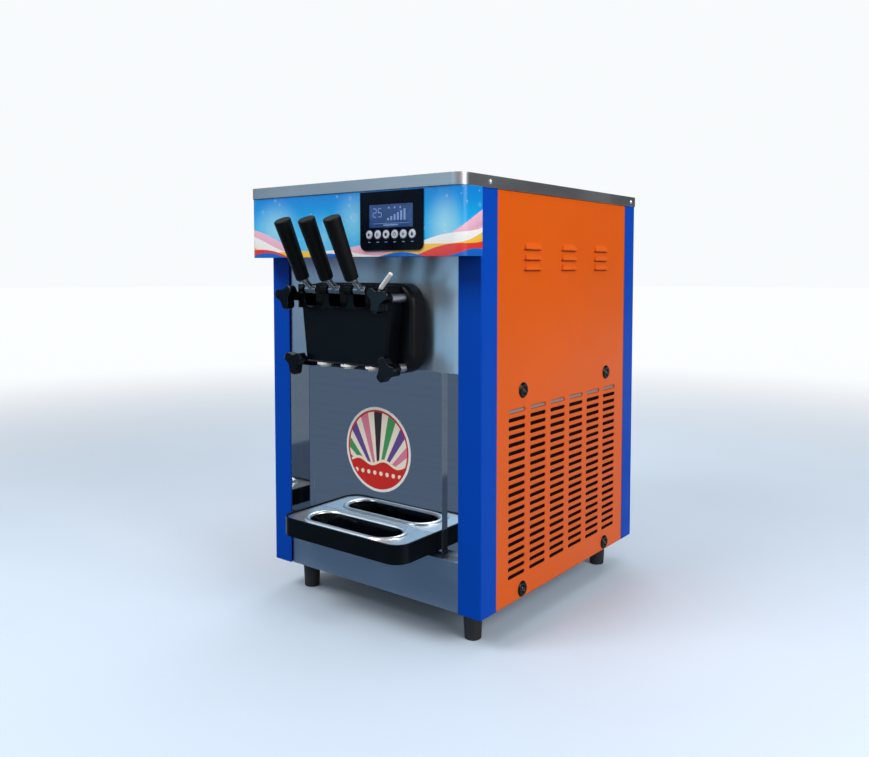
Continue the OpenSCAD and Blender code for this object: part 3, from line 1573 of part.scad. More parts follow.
base_pan();
feet();
corner_posts();
on_left() side_panel();  // side_panel_left
side_panel();  // side_panel_right
rear_panel();
cup_washers();
panel_screws();
mid_shelf();
top_cover();
hoppers();
on_left() hopper_lid();  // hopper_lid_left
hopper_lid();  // hopper_lid_right
on_left() air_tube();  // air_tube_left
air_tube();  // air_tube_right
header_fascia();
control_panel();
display_window();
button(0);  // button_1
button(1);  // button_2
button(2);  // button_3
button(3);  // button_4
button(4);  // button_5
button(5);  // button_6
upper_front_panel();
recess_panel();
splash_panel();
lower_front_panel();
tray_rails();
drip_tray();
tray_deck();
drip_dish();
head_collar();
dispensing_head();
head_seals();
head_studs();
knob(-1, upper_stud_z, upper_pad_face, 0);  // knob_upper_left
knob(1, upper_stud_z, upper_pad_face, 1);  // knob_upper_right
knob(-1, lower_stud_z, lower_pad_face, 2);  // knob_lower_left
knob(1, lower_stud_z, lower_pad_face, 3);  // knob_lower_right
handle_pin();
lever(valve_xs[0]);  // lever_left
lever(valve_xs[1]);  // lever_centre
lever(valve_xs[2]);  // lever_right
grip(valve_xs[0]);  // grip_left
grip(valve_xs[1]);  // grip_centre
grip(valve_xs[2]);  // grip_right
plunger(valve_xs[0]);  // plunger_left
plunger(valve_xs[1]);  // plunger_centre
plunger(valve_xs[2]);  // plunger_right
nozzles();
freezing_cylinders();
beater(-valve_pitch);  // beater_left
beater(valve_pitch);  // beater_right
gear_motors();
compressor();
condenser();
fan();
fan_motor();
control_box();
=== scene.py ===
"""Looks of a countertop soft serve machine with three levers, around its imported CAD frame.

Lengths are metres in the frame's own axes: X to the right, Y to the back, Z up from the floor.
Every mesh keeps its place in its vertices, so object coordinates are frame coordinates at rest.
"""

import logging
import math
from dataclasses import dataclass
from enum import Enum
from typing import Callable, Optional, Sequence, Union

import bmesh
import bpy
from mathutils import Matrix, Vector


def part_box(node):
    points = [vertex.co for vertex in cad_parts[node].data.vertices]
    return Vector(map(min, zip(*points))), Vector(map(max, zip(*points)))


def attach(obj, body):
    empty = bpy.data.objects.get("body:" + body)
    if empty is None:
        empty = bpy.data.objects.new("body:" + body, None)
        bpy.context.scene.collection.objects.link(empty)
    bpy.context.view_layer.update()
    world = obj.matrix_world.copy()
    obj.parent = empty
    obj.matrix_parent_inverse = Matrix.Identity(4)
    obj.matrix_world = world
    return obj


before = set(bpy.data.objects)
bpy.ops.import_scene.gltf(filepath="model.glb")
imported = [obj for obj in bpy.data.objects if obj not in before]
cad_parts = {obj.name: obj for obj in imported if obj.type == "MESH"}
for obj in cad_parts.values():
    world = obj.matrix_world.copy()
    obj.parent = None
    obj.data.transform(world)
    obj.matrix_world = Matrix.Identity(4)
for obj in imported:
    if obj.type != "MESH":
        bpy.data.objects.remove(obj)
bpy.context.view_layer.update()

LOG = logging.getLogger("soft_serve")
ROOT_BODY = "machine"

Triple = tuple[float, float, float]
Colour = Triple
Point = tuple[float, float]
Outline = list[Point]
Mesh = bmesh.types.BMesh
Node = bpy.types.Node
Socket = bpy.types.NodeSocket
Outputs = bpy.types.NodeOutputs
Feed = Union[Socket, float, tuple, None]
Look = dict[str, Feed]


def linear(part: int) -> float:
    """Linear value from 0 to 1 of one 8-bit part of a display colour."""
    share = part / 255
    return share / 12.92 if share <= 0.04045 else ((share + 0.055) / 1.055) ** 2.4


def display(red: int, green: int, blue: int) -> Colour:
    """Turns an 8-bit display colour into a linear one."""
    return linear(red), linear(green), linear(blue)


def scaled(colour: Colour, factor: float) -> Colour:
    """Returns a colour made lighter or darker by a factor."""
    return tuple(min(1.0, part * factor) for part in colour)


DUST: Colour = display(196, 192, 184)
BLACK: Colour = (0.0, 0.0, 0.0)


class Wiring:
    """Short calls that add and join the nodes of one tree."""

    def __init__(self, tree: bpy.types.NodeTree) -> None:
        """Keeps the tree that the calls work on."""
        self.tree = tree

    def add(self, kind: str, takes: Optional[dict[Union[str, int], Feed]] = None,
            **settings: object) -> Node:
        """Adds a node.

        Args:
            kind: The node's class name after ShaderNode.
            takes: What its inputs take, by name or number.
            settings: The node's own properties.

        Returns:
            The new node.
        """
        node = self.tree.nodes.new(f"ShaderNode{kind}")
        for name, value in settings.items():
            setattr(node, name, value)
        for key, value in (takes or {}).items():
            self.feed(node.inputs[key], value)
        return node

    def feed(self, socket: Socket, value: Feed) -> None:
        """Joins a socket to another one, or sets its constant.

        Args:
            socket: The socket that takes the value.
            value: A socket to link, a number or tuple to set, or None to leave it alone.
        """
        if isinstance(value, Socket):
            self.tree.links.new(value, socket)
        elif value is not None:
            is_colour = socket.type == "RGBA" and len(value) == 3
            socket.default_value = (*value, 1.0) if is_colour else value

    def math(self, operation: str, *values: Feed) -> Socket:
        """Adds a Math node for one to three values and returns its result."""
        return self.add("Math", dict(enumerate(values)), operation=operation).outputs[0]

    def times(self, first: Feed, second: Feed) -> Socket:
        """Multiplies two values."""
        return self.math("MULTIPLY", first, second)

    def less(self, first: Feed, second: Feed) -> Socket:
        """Takes the second value from the first."""
        return self.math("SUBTRACT", first, second)

    def away(self, across: Feed, up: Feed) -> Socket:
        """Distance of a point from the middle, from its two coordinates."""
        return self.math("SQRT", self.math("MULTIPLY_ADD", across, across, self.times(up, up)))

    def vector(self, operation: str, *values: Feed) -> Node:
        """Adds a Vector Math node for one or two vectors and returns it."""
        return self.add("VectorMath", dict(enumerate(values)), operation=operation)

    def mix(self, share: Feed, first: Feed, second: Feed) -> Socket:
        """Mixes two colours: the first shows at share 0 and the second at share 1."""
        return self.add("Mix", {0: share, 6: first, 7: second}, data_type="RGBA").outputs[2]

    def tones(self, share: Feed, colour: Colour, first: float, second: float = 1.0) -> Socket:
        """Mixes two tones of one colour, each given as a factor."""
        return self.mix(share, scaled(colour, first), scaled(colour, second))

    def remap(self, value: Feed, low: float, high: float, to_low: float = 0.0,
              to_high: float = 1.0, smooth: bool = True) -> Socket:
        """Maps a range of values to another one, clamped, and eased at both ends if smooth."""
        node = self.add("MapRange", dict(enumerate((value, low, high, to_low, to_high))),
                        interpolation_type="SMOOTHSTEP" if smooth else "LINEAR")
        return node.outputs[0]

    def noise(self, place: Feed, scale: float, detail: float = 2.0, roughness: float = 0.5) -> Socket:
        """Returns noise from 0 to 1, its scale in features to a metre."""
        takes = {"Vector": place, "Scale": scale, "Detail": detail, "Roughness": roughness}
        return self.add("TexNoise", takes).outputs[0]

    def cells(self, place: Feed, scale: Feed) -> Node:
        """Adds a Voronoi texture, its scale in cells to a metre, and returns it."""
        return self.add("TexVoronoi", {"Vector": place, "Scale": scale})

    def place(self) -> Socket:
        """Returns object coordinates, which are frame coordinates at rest."""
        return self.add("TexCoord").outputs["Object"]

    def axes(self, place: Feed) -> tuple[Socket, ...]:
        """Splits a vector into its X, Y and Z values."""
        return tuple(self.add("SeparateXYZ", {0: place}).outputs)

    def bump(self, height: Feed, distance: float, strength: float, normal: Feed = None) -> Socket:
        """Turns a height from 0 to 1, which is distance metres deep, into a normal."""
        takes = {"Height": height, "Distance": distance, "Strength": strength, "Normal": normal}
        return self.add("Bump", takes).outputs[0]

    def effect(self, effect: "Effect", **values: Feed) -> Outputs:
        """Places a shared effect's group with its own values and returns its outputs."""
        return self.add("Group", values, node_tree=effect_tree(effect)).outputs


class Effect(Enum):
    """Effects that several finishes share, each a node group built once."""

    SOFT_EDGES = "soft_edges"
    BRUSHED_GRAIN = "brushed_grain"
    PAINT_SKIN = "paint_skin"
    MOULDED_GRAIN = "moulded_grain"
    HANDLING = "handling"


def soft_edges(wiring: Wiring, takes: Outputs) -> Look:
    """Rounds the shading of sharp edges and marks where they are.

    Args:
        wiring: The group's tree.
        takes: What the group takes in.

    Returns:
        What the group puts out.
    """
    level, sharp = 0.985, 0.80
    rounded = wiring.add("Bevel", {"Radius": takes["Radius"]}, samples=4).outputs[0]
    flat = wiring.add("NewGeometry").outputs["Normal"]
    same = wiring.vector("DOT_PRODUCT", rounded, flat).outputs["Value"]
    return {"Normal": rounded, "Edge": wiring.remap(same, level, sharp)}


def brushed_grain(wiring: Wiring, takes: Outputs) -> Look:
    """Fine lines of brushed sheet, long along one axis.

    Args:
        wiring: The group's tree.
        takes: What the group takes in.

    Returns:
        What the group puts out.
    """
    place = wiring.vector("MULTIPLY", wiring.place(), takes["Stretch"]).outputs[0]
    fine = wiring.noise(place, scale=1.0, detail=3.0, roughness=0.7)
    broad = wiring.noise(place, scale=0.17)
    return {"Height": fine, "Streak": wiring.math("MULTIPLY_ADD", fine, 0.5, wiring.times(broad, 0.5))}


def paint_skin(wiring: Wiring, takes: Outputs) -> Look:
    """The low ripple of sprayed powder coat and its faint clouding.

    Args:
        wiring: The group's tree.
        takes: What the group takes in, which is nothing.

    Returns:
        What the group puts out.
    """
    place = wiring.place()
    ripple = wiring.noise(place, scale=520.0, roughness=0.45)
    cloud = wiring.noise(place, scale=5.0, detail=4.0, roughness=0.55)
    return {"Height": ripple, "Mottle": wiring.remap(cloud, 0.3, 0.7)}


def moulded_grain(wiring: Wiring, takes: Outputs) -> Look:
    """The spark-eroded grain of moulded plastic.

    Args:
        wiring: The group's tree.
        takes: What the group takes in.

    Returns:
        What the group puts out.
    """
    wave_share = 0.25
    place = wiring.place()
    pits = wiring.cells(place, takes["Scale"]).outputs["Distance"]
    wave = wiring.noise(place, scale=60.0, detail=3.0)
    cloud = wiring.noise(place, scale=18.0, detail=4.0)
    return {"Height": wiring.math("MULTIPLY_ADD", wave, wave_share, pits),
            "Mottle": wiring.remap(cloud, 0.32, 0.68)}


def handling(wiring: Wiring, takes: Outputs) -> Look:
    """Wiping smears all over, and a little dust on what faces up.

    Args:
        wiring: The group's tree.
        takes: What the group takes in, which is nothing.

    Returns:
        What the group puts out.
    """
    wipes = (7.0, 7.0, 16.0)
    place = wiring.place()
    wiped = wiring.vector("MULTIPLY", place, wipes).outputs[0]
    smear = wiring.noise(wiped, scale=1.0, detail=5.0, roughness=0.6)
    up = wiring.axes(wiring.add("NewGeometry").outputs["Normal"])[2]
    specks = wiring.noise(place, scale=90.0, detail=4.0, roughness=0.7)
    return {"Smudge": wiring.remap(smear, 0.42, 0.68),
            "Dust": wiring.times(wiring.remap(up, 0.55, 0.98), wiring.remap(specks, 0.45, 0.75))}


FLOAT, VECTOR = "NodeSocketFloat", "NodeSocketVector"
EFFECTS: dict[Effect, tuple[Callable[[Wiring, Outputs], Look], dict[str, str], dict[str, str]]] = {
    Effect.SOFT_EDGES: (soft_edges, {"Radius": FLOAT}, {"Normal": VECTOR, "Edge": FLOAT}),
    Effect.BRUSHED_GRAIN: (brushed_grain, {"Stretch": VECTOR}, {"Height": FLOAT, "Streak": FLOAT}),
    Effect.PAINT_SKIN: (paint_skin, {}, {"Height": FLOAT, "Mottle": FLOAT}),
    Effect.MOULDED_GRAIN: (moulded_grain, {"Scale": FLOAT}, {"Height": FLOAT, "Mottle": FLOAT}),
    Effect.HANDLING: (handling, {}, {"Smudge": FLOAT, "Dust": FLOAT}),
}


def effect_tree(effect: Effect) -> bpy.types.NodeTree:
    """Returns an effect's node group, and builds it the first time.

    Args:
        effect: Which effect.

    Returns:
        The group's node tree.
    """
    tree = bpy.data.node_groups.get(effect.value)
    if tree is None:
        build, takes, gives = EFFECTS[effect]
        tree = bpy.data.node_groups.new(effect.value, "ShaderNodeTree")
        for way, sockets in (("INPUT", takes), ("OUTPUT", gives)):
            for name, kind in sockets.items():
                tree.interface.new_socket(name, in_out=way, socket_type=kind)
        inlet, outlet = tree.nodes.new("NodeGroupInput"), tree.nodes.new("NodeGroupOutput")
        wiring = Wiring(tree)
        for name, value in build(wiring, inlet.outputs).items():
            wiring.feed(outlet.inputs[name], value)
    return tree


def blank_material(title: str, kind: str) -> tuple[bpy.types.Material, Wiring, Node]:
    """Makes a material with nothing but a shader.

    Args:
        title: The material's name.
        kind: The shader's class name after ShaderNode.

    Returns:
        The material, the calls for its tree, and the shader.
    """
    made = bpy.data.materials.new(title)
    made.use_nodes = True
    made.node_tree.nodes.clear()
    wiring = Wiring(made.node_tree)
    shader = wiring.add(kind)
    wiring.add("OutputMaterial", {"Surface": shader.outputs[0]})
    return made, wiring, shader


@dataclass(frozen=True)
class Finish:
    """A named finish, which makes its material once."""

    name: str

    def material(self) -> bpy.types.Material:
        """Returns the finish's material, made on first use.

        Returns:
            The material.
        """
        title = f"finish_{self.name}"
        made = bpy.data.materials.get(title)
        if made is None:
            made, wiring, shader = blank_material(title, "BsdfPrincipled")
            for name, value in self.look(wiring).items():
                wiring.feed(shader.inputs[name], value)
        return made

    def look(self, wiring: Wiring) -> Look:
        """Wires the finish and returns what its shader's inputs take, by name."""
        raise NotImplementedError


@dataclass(frozen=True)
class WornAndHighlitFinish(Finish):
    """A finish of one colour in two tones, with edges made lighter for wear and as painted highlight, and a
    little dust.
    """

    colour: Colour
    tones: Point = (1.0, 1.0)
    edge_wear_and_highlight: float = 0.0
    edge_wear_and_highlight_tone: float = 1.0
    dust: float = 0.0
    edge_radius: float = 0.0008

    def worn_and_highlit(self, wiring: Wiring, tone: Feed, edge: Feed, settled: Feed) -> Socket:
        """Lays the two tones, the lighter edges, which are wear and painted highlight, and the dust over
        each other.

        Args:
            wiring: The material's tree.
            tone: Where the second tone shows, from 0 to 1.
            edge: Where the edges are, from 0 to 1.
            settled: Where dust lies, from 0 to 1.

        Returns:
            The colour that shows.
        """
        body = wiring.tones(tone, self.colour, *self.tones)
        # Edges turn lighter by a set factor: part wear, part painted highlight along rounded edges.
        worn_and_highlit_edges = wiring.mix(wiring.times(edge, self.edge_wear_and_highlight), body, scaled(self.colour, self.edge_wear_and_highlight_tone))
        return wiring.mix(wiring.times(settled, self.dust), worn_and_highlit_edges, DUST)


@dataclass(frozen=True)
class PaintFinish(WornAndHighlitFinish):
    """Powder coat on sheet steel."""

    tones: Point = (0.975, 1.025)
    edge_wear_and_highlight: float = 0.22
    edge_wear_and_highlight_tone: float = 1.5
    dust: float = 0.10
    edge_radius: float = 0.0012
    roughness: float = 0.36
    wiped: Point = (-0.03, 0.04)
    ripple: float = 0.12
    depth: float = 0.00012
    specular: float = 0.14

    def surface(self, wiring: Wiring) -> Outputs:
        """Places the effect that gives the height and the mottle."""
        return wiring.effect(Effect.PAINT_SKIN)

    def look(self, wiring: Wiring) -> Look:
        """Wires relief, clouding, pale edges that are wear and painted highlight, wiped patches and dust.

        Args:
            wiring: The material's tree.

        Returns:
            What the shader's inputs take, by name.
        """
        skin = self.surface(wiring)
        edges = wiring.effect(Effect.SOFT_EDGES, Radius=self.edge_radius)
        touch = wiring.effect(Effect.HANDLING)
        low, high = (self.roughness + change for change in self.wiped)
        return {"Base Color": self.worn_and_highlit(wiring, skin["Mottle"], edges["Edge"], touch["Dust"]),
                "Specular IOR Level": self.specular,
                "Roughness": wiring.remap(touch["Smudge"], 0.0, 1.0, low, high, smooth=False),
                "Normal": wiring.bump(skin["Height"], self.depth, self.ripple, edges["Normal"])}


@dataclass(frozen=True)
class SteelFinish(WornAndHighlitFinish):
    """Stainless sheet or bar, from brushed to mirror."""

    tones: Point = (0.86, 1.08)
    edge_wear_and_highlight: float = 0.35
    edge_wear_and_highlight_tone: float = 1.35
    dust: float = 0.06
    roughness: float = 0.34
    least: float = 0.02
    spread: float = 0.12
    streak_share: float = 0.6
    uneven_range: Point = (0.1, 0.9)
    stretch: Triple = (6.0, 900.0, 900.0)
    grain: float = 0.10
    depth: float = 0.00006
    upright_blur: float = 0.0
    blur_turn: float = 0.25

    def look(self, wiring: Wiring) -> Look:
        """Wires brush lines, smears, and bright edges that are wear and painted highlight.

        Args:
            wiring: The material's tree.

        Returns:
            What the shader's inputs take, by name.
        """
        grain = wiring.effect(Effect.BRUSHED_GRAIN, Stretch=self.stretch)
        edges = wiring.effect(Effect.SOFT_EDGES, Radius=self.edge_radius)
        touch = wiring.effect(Effect.HANDLING)
        smeared = wiring.times(touch["Smudge"], 1 - self.streak_share)
        uneven = wiring.math("MULTIPLY_ADD", grain["Streak"], self.streak_share, smeared)
        low = max(self.least, self.roughness - self.spread / 2)
        high = self.roughness + self.spread / 2
        return {"Base Color": self.worn_and_highlit(wiring, grain["Streak"], edges["Edge"], touch["Dust"]),
                "Metallic": 1.0,
                "Anisotropic": self.upright_blur,
                "Anisotropic Rotation": self.blur_turn,
                "Roughness": wiring.remap(uneven, *self.uneven_range, low, high, smooth=False),
                "Normal": wiring.bump(grain["Height"], self.depth, self.grain, edges["Normal"])}


@dataclass(frozen=True)
class MouldedFinish(PaintFinish):
    """Moulded plastic or rubber, wired as paint is but with its tool's grain."""

    tones: Point = (0.85, 1.18)
    # Black mouldings' edges are lightened 2.2 times, mostly a painted highlight along their rounded edges.
    edge_wear_and_highlight: float = 0.3
    edge_wear_and_highlight_tone: float = 2.2
    dust: float = 0.08
    edge_radius: float = 0.0008
    roughness: float = 0.42
    wiped: Point = (-0.05, 0.08)
    ripple: float = 0.5
    depth: float = 0.00006
    specular: float = 0.5
    grain_scale: float = 1600.0

    def surface(self, wiring: Wiring) -> Outputs:
        """Places the effect that gives the height and the mottle."""
        return wiring.effect(Effect.MOULDED_GRAIN, Scale=self.grain_scale)


@dataclass(frozen=True)
class ScrewFinish(Finish):
    """Dome screws: blackened on the side panels and bright on the cover's rim."""

    rim: float
    black: Colour = display(6, 7, 9)
    bright: Colour = display(212, 214, 216)
    roughness: Point = (0.14, 0.24)
    edge_radius: float = 0.0004

    def look(self, wiring: Wiring) -> Look:
        """Wires the two platings, told apart by height.

        Args:
            wiring: The material's tree.

        Returns:
            What the shader's inputs take, by name.
        """
        plated = wiring.math("GREATER_THAN", wiring.axes(wiring.place())[2], self.rim)
        touch = wiring.effect(Effect.HANDLING)
        return {"Base Color": wiring.mix(plated, self.black, self.bright),
                "Metallic": plated,
                "Roughness": wiring.remap(touch["Smudge"], 0.0, 1.0, *self.roughness),
                "Normal": wiring.effect(Effect.SOFT_EDGES, Radius=self.edge_radius)["Normal"]}


@dataclass(frozen=True)
class ZincFinish(Finish):
    """Hot-dipped sheet with its crystal spangle, set darker than bright zinc as painted shade for the
    machine's inside.
    """

    # Darker than bright zinc: painted shade inside the cabinet.
    colour: Colour = display(120, 126, 130)
    spangle: float = 55.0
    tones: Point = (0.8, 1.1)
    roughness: Point = (0.38, 0.55)
    dust: float = 0.18
    edge_radius: float = 0.0008

    def look(self, wiring: Wiring) -> Look:
        """Wires spangle tones, dull roughness and dust.

        Args:
            wiring: The material's tree.

        Returns:
            What the shader's inputs take, by name.
        """
        tone = wiring.axes(wiring.cells(wiring.place(), self.spangle).outputs["Color"])[0]
        touch = wiring.effect(Effect.HANDLING)
        body = wiring.tones(tone, self.colour, *self.tones)
        return {"Base Color": wiring.mix(wiring.times(touch["Dust"], self.dust), body, DUST),
                "Metallic": 1.0,
                "Roughness": wiring.remap(tone, 0.0, 1.0, *self.roughness, smooth=False),
                "Normal": wiring.effect(Effect.SOFT_EDGES, Radius=self.edge_radius)["Normal"]}


@dataclass(frozen=True)
class FinFinish(Finish):
    """A condenser core: thin aluminium fins with gaps darkened as painted shade, on a painted shroud."""

    # The colour is far darker than bare aluminium: painted shade for the cabinet's dark inside.
    colour: Colour = display(84, 86, 88)
    gap_shade_tone: float = 0.25
    pitch: float = 0.0022
    gap_range: Point = (-0.4, 0.5)
    depth: float = 0.0008
    relief: float = 0.6
    dust: float = 0.2
    metallic: float = 0.85
    roughness: Point = (0.42, 0.55)

    def look(self, wiring: Wiring) -> Look:
        """Wires fin lines along Y, with painted shade in the gaps, and a matte metal.

        Args:
            wiring: The material's tree.

        Returns:
            What the shader's inputs take, by name.
        """
        turn = wiring.times(wiring.axes(wiring.place())[1], math.tau / self.pitch)
        fin = wiring.remap(wiring.math("SINE", turn), *self.gap_range)
        touch = wiring.effect(Effect.HANDLING)
        # Gaps between fins fall to a quarter of the colour: painted shade.
        body = wiring.tones(fin, self.colour, self.gap_shade_tone)
        return {"Base Color": wiring.mix(wiring.times(touch["Dust"], self.dust), body, DUST),
                "Metallic": self.metallic,
                "Roughness": wiring.remap(touch["Smudge"], 0.0, 1.0, *self.roughness),
                "Normal": wiring.bump(fin, self.depth, self.relief)}


@dataclass(frozen=True)
class Spot:
    """Where a print is read: along the header, in shares of its height, and in metres up."""

    across: Socket
    rise: Socket
    height: Socket


@dataclass(frozen=True)
class Glow:
    """One soft round glow of the header print."""

    x: float
    rise: float
    reach: float
    share: float
    tall: float = 0.6
    colour: Colour = display(170, 232, 252)

    def lay(self, wiring: Wiring, sky: Feed, spot: Spot) -> Socket:
        """Lays the glow over the sky.

        Args:
            wiring: The material's tree.
            sky: The colour so far.
            spot: Where it is read.

        Returns:
            The new colour.
        """
        aside = wiring.math("DIVIDE", wiring.less(spot.across, self.x), self.reach)
        above = wiring.math("DIVIDE", wiring.less(spot.rise, self.rise), self.tall)
        shown = wiring.remap(wiring.away(aside, above), 1.0, 0.0, 0.0, self.share)
        return wiring.mix(shown, sky, self.colour)


@dataclass(frozen=True)
class Bubbles:
    """Pale round bubbles with brighter rims, all of about one size."""

    scale: float
    radius: float
    share: float
    chance: float = 0.55
    edge_at: float = 0.93
    rim_at: float = 0.55
    middle_share: float = 0.25
    colour: Colour = display(244, 252, 255)

    def lay(self, wiring: Wiring, sky: Feed, spot: Spot) -> Socket:
        """Lays the bubbles over the sky.

        Args:
            wiring: The material's tree.
            sky: The colour so far.
            spot: Where it is read.

        Returns:
            The new colour.
        """
        flat = wiring.add("CombineXYZ", {"X": spot.across, "Z": spot.height}).outputs[0]
        node = wiring.cells(flat, self.scale)
        away = node.outputs["Distance"]
        chosen = wiring.math("GREATER_THAN", wiring.axes(node.outputs["Color"])[0], self.chance)
        inside = wiring.remap(away, self.radius, self.radius * self.edge_at)
        paler = wiring.remap(away, self.radius * self.rim_at, self.radius, self.middle_share)
        rim = wiring.times(inside, paler)
        return wiring.mix(wiring.times(rim, wiring.times(chosen, self.share)), sky, self.colour)


@dataclass(frozen=True)
class Ribbon:
    """One wavy ribbon along the header's lower edge, in shares of the header's height."""

    colour: Colour
    level: float
    swing: float
    waves: float
    start: float
    flare: float
    crest_tone: float = 1.25
    crest: float = 0.22
    blend: float = 0.012

    def lay(self, wiring: Wiring, sky: Feed, spot: Spot) -> Socket:
        """Lays the ribbon over the sky.

        Args:
            wiring: The material's tree.
            sky: The colour so far.
            spot: Where it is read.

        Returns:
            The new colour.
        """
        turn = wiring.math("MULTIPLY_ADD", spot.across, self.waves, self.start)
        sway = wiring.math("MULTIPLY_ADD", wiring.math("SINE", turn), self.swing, self.level)
        swell = wiring.times(wiring.times(spot.across, spot.across), self.flare)
        under = wiring.less(wiring.math("ADD", sway, swell), spot.rise)
        body = wiring.tones(wiring.remap(under, 0.0, self.crest), self.colour, self.crest_tone)
        return wiring.mix(wiring.remap(under, 0.0, self.blend), sky, body)


@dataclass(frozen=True)
class SkyPrintFinish(Finish):
    """The header's printed film: a sky with soft glows, bubbles and wavy ribbons."""

    front: float
    low: float
    high: float
    top: Colour = display(2, 140, 228)
    middle: Colour = display(20, 186, 248)
    middle_to: float = 0.35
    layers: tuple[Union[Glow, Bubbles, Ribbon], ...] = (
        Glow(-0.19, 0.45, 0.085, 0.75),
        Glow(0.022, 0.55, 0.06, 0.5),
        Glow(0.235, 0.42, 0.05, 0.85),
        Glow(-0.07, 0.2, 0.09, 0.45),
        Bubbles(26.0, 0.24, 0.16),
        Bubbles(58.0, 0.22, 0.28),
        Ribbon(display(236, 178, 200), 0.10, 0.08, 21.0, 0.4, 4.6),
        Ribbon(display(248, 246, 244), 0.05, 0.06, 26.0, 2.2, 3.9),
        Ribbon(display(244, 186, 66), 0.00, 0.07, 24.0, 4.0, 3.6),
        Ribbon(display(214, 52, 44), -0.07, 0.06, 29.0, 1.2, 3.2),
        Ribbon(display(10, 96, 190), 0.01, 0.05, 36.0, 3.0, 0.6),
    )
    roughness: Point = (0.22, 0.34)
    edge_radius: float = 0.0006
    depth: float = 0.00006
    ripple: float = 0.08

    def look(self, wiring: Wiring) -> Look:
        """Wires the sky, then the print's layers in order; the print runs on round the header's ends.

        Args:
            wiring: The material's tree.

        Returns:
            What the shader's inputs take, by name.
        """
        across, deep, height = wiring.axes(wiring.place())
        wrap = wiring.times(wiring.math("SIGN", across), wiring.less(deep, self.front))
        rise = wiring.remap(height, self.low, self.high, smooth=False)
        spot = Spot(wiring.math("ADD", across, wrap), rise, height)
        sky = wiring.mix(wiring.remap(rise, self.middle_to, 1.0), self.middle, self.top)
        for layer in self.layers:
            sky = layer.lay(wiring, sky, spot)
        skin = wiring.effect(Effect.PAINT_SKIN)
        edges = wiring.effect(Effect.SOFT_EDGES, Radius=self.edge_radius)
        touch = wiring.effect(Effect.HANDLING)
        return {"Base Color": sky,
                "Roughness": wiring.remap(touch["Smudge"], 0.0, 1.0, *self.roughness),
                "Normal": wiring.bump(skin["Height"], self.depth, self.ripple, edges["Normal"])}


@dataclass(frozen=True)
class BadgePrintFinish(Finish):
    """A round printed badge: a striped fan over a red wave with a row of dots."""

    centre: Point
    radius: float
    border: float = 0.005
    ring: float = 0.004
    blend: float = 0.0006
    red: Colour = display(214, 36, 22)
    cream: Colour = display(250, 240, 222)
    white: Colour = display(246, 247, 248)
    fan: tuple[Colour, ...] = (display(104, 74, 150), display(226, 132, 158), display(52, 36, 40),
                               display(70, 158, 92))
    fan_drop: float = 0.75
    fan_turns: float = 3.6
    fan_start: float = 6.5
    stripe: Point = (0.06, 0.20)
    waves: float = 95.0
    wave_swing: float = 0.005
    wave_level: float = -0.028
    wave_edge: Point = (-0.0055, -0.0049)
    dot_pitch: float = 0.016
    dot_drop: float = 0.047
    dot_edge: Point = (0.0046, 0.0041)
    roughness: Point = (0.28, 0.40)
    depth: float = 0.00005
    ripple: float = 0.1

    def look(self, wiring: Wiring) -> Look:
        """Wires the badge's rings, fan, wave and dots.

        Args:
            wiring: The material's tree.

        Returns:
            What the shader's inputs take, by name.
        """
        across, _, height = wiring.axes(wiring.place())
        x, z = wiring.less(across, self.centre[0]), wiring.less(height, self.centre[1])
        wave = wiring.math("SINE", wiring.times(x, self.waves))
        under = wiring.less(wiring.math("MULTIPLY_ADD", wave, self.wave_swing, self.wave_level), z)
        art = wiring.mix(wiring.remap(under, *self.wave_edge), self._fan(wiring, x, z), self.cream)
        art = wiring.mix(wiring.remap(under, 0.0, self.blend), art, self.red)
        art = self._dots(wiring, art, x, z)
        out = wiring.away(x, z)
        inner = self.radius - self.border
        for edge, colour in ((inner - self.ring, self.red), (inner, self.white)):
            art = wiring.mix(wiring.remap(out, edge - self.blend, edge), art, colour)
        touch = wiring.effect(Effect.HANDLING)
        skin = wiring.effect(Effect.PAINT_SKIN)
        return {"Base Color": art,
                "Roughness": wiring.remap(touch["Smudge"], 0.0, 1.0, *self.roughness),
                "Normal": wiring.bump(skin["Height"], self.depth, self.ripple)}

    def _fan(self, wiring: Wiring, x: Feed, z: Feed) -> Socket:
        """Returns the colour of stripes that fan out from under the middle.

        Args:
            wiring: The material's tree.
            x: Place across the badge.
            z: Place up the badge.

        Returns:
            The stripes' colour.
        """
        count = len(self.fan)
        angle = wiring.math("ARCTAN2", x, wiring.math("ADD", z, self.radius * self.fan_drop))
        turns = wiring.math("MULTIPLY_ADD", angle, self.fan_turns, self.fan_start)
        ramp = wiring.add("ValToRGB", {0: wiring.math("FRACT", wiring.times(turns, 1 / count))})
        ramp.color_ramp.interpolation = "CONSTANT"
        start, end = self.stripe
        stops = [(i / count + share, colour) for i, stripe in enumerate(self.fan)
                 for share, colour in ((0.0, self.cream), (start, stripe), (end, self.cream))]
        while len(ramp.color_ramp.elements) < len(stops):
            ramp.color_ramp.elements.new(0.5)
        for element, (at, colour) in zip(ramp.color_ramp.elements, stops):
            element.position = at
            element.color = (*colour, 1.0)
        return ramp.outputs[0]

    def _dots(self, wiring: Wiring, art: Feed, x: Feed, z: Feed) -> Socket:
        """Lays a row of cream dots over the red wave.

        Args:
            wiring: The material's tree.
            art: The colour so far.
            x: Place across the badge.
            z: Place up the badge.

        Returns:
            The new colour.
        """
        step = wiring.less(wiring.math("FRACT", wiring.math("DIVIDE", x, self.dot_pitch)), 0.5)
        away = wiring.away(wiring.times(step, self.dot_pitch), wiring.math("ADD", z, self.dot_drop))
        return wiring.mix(wiring.remap(away, *self.dot_edge), art, self.cream)


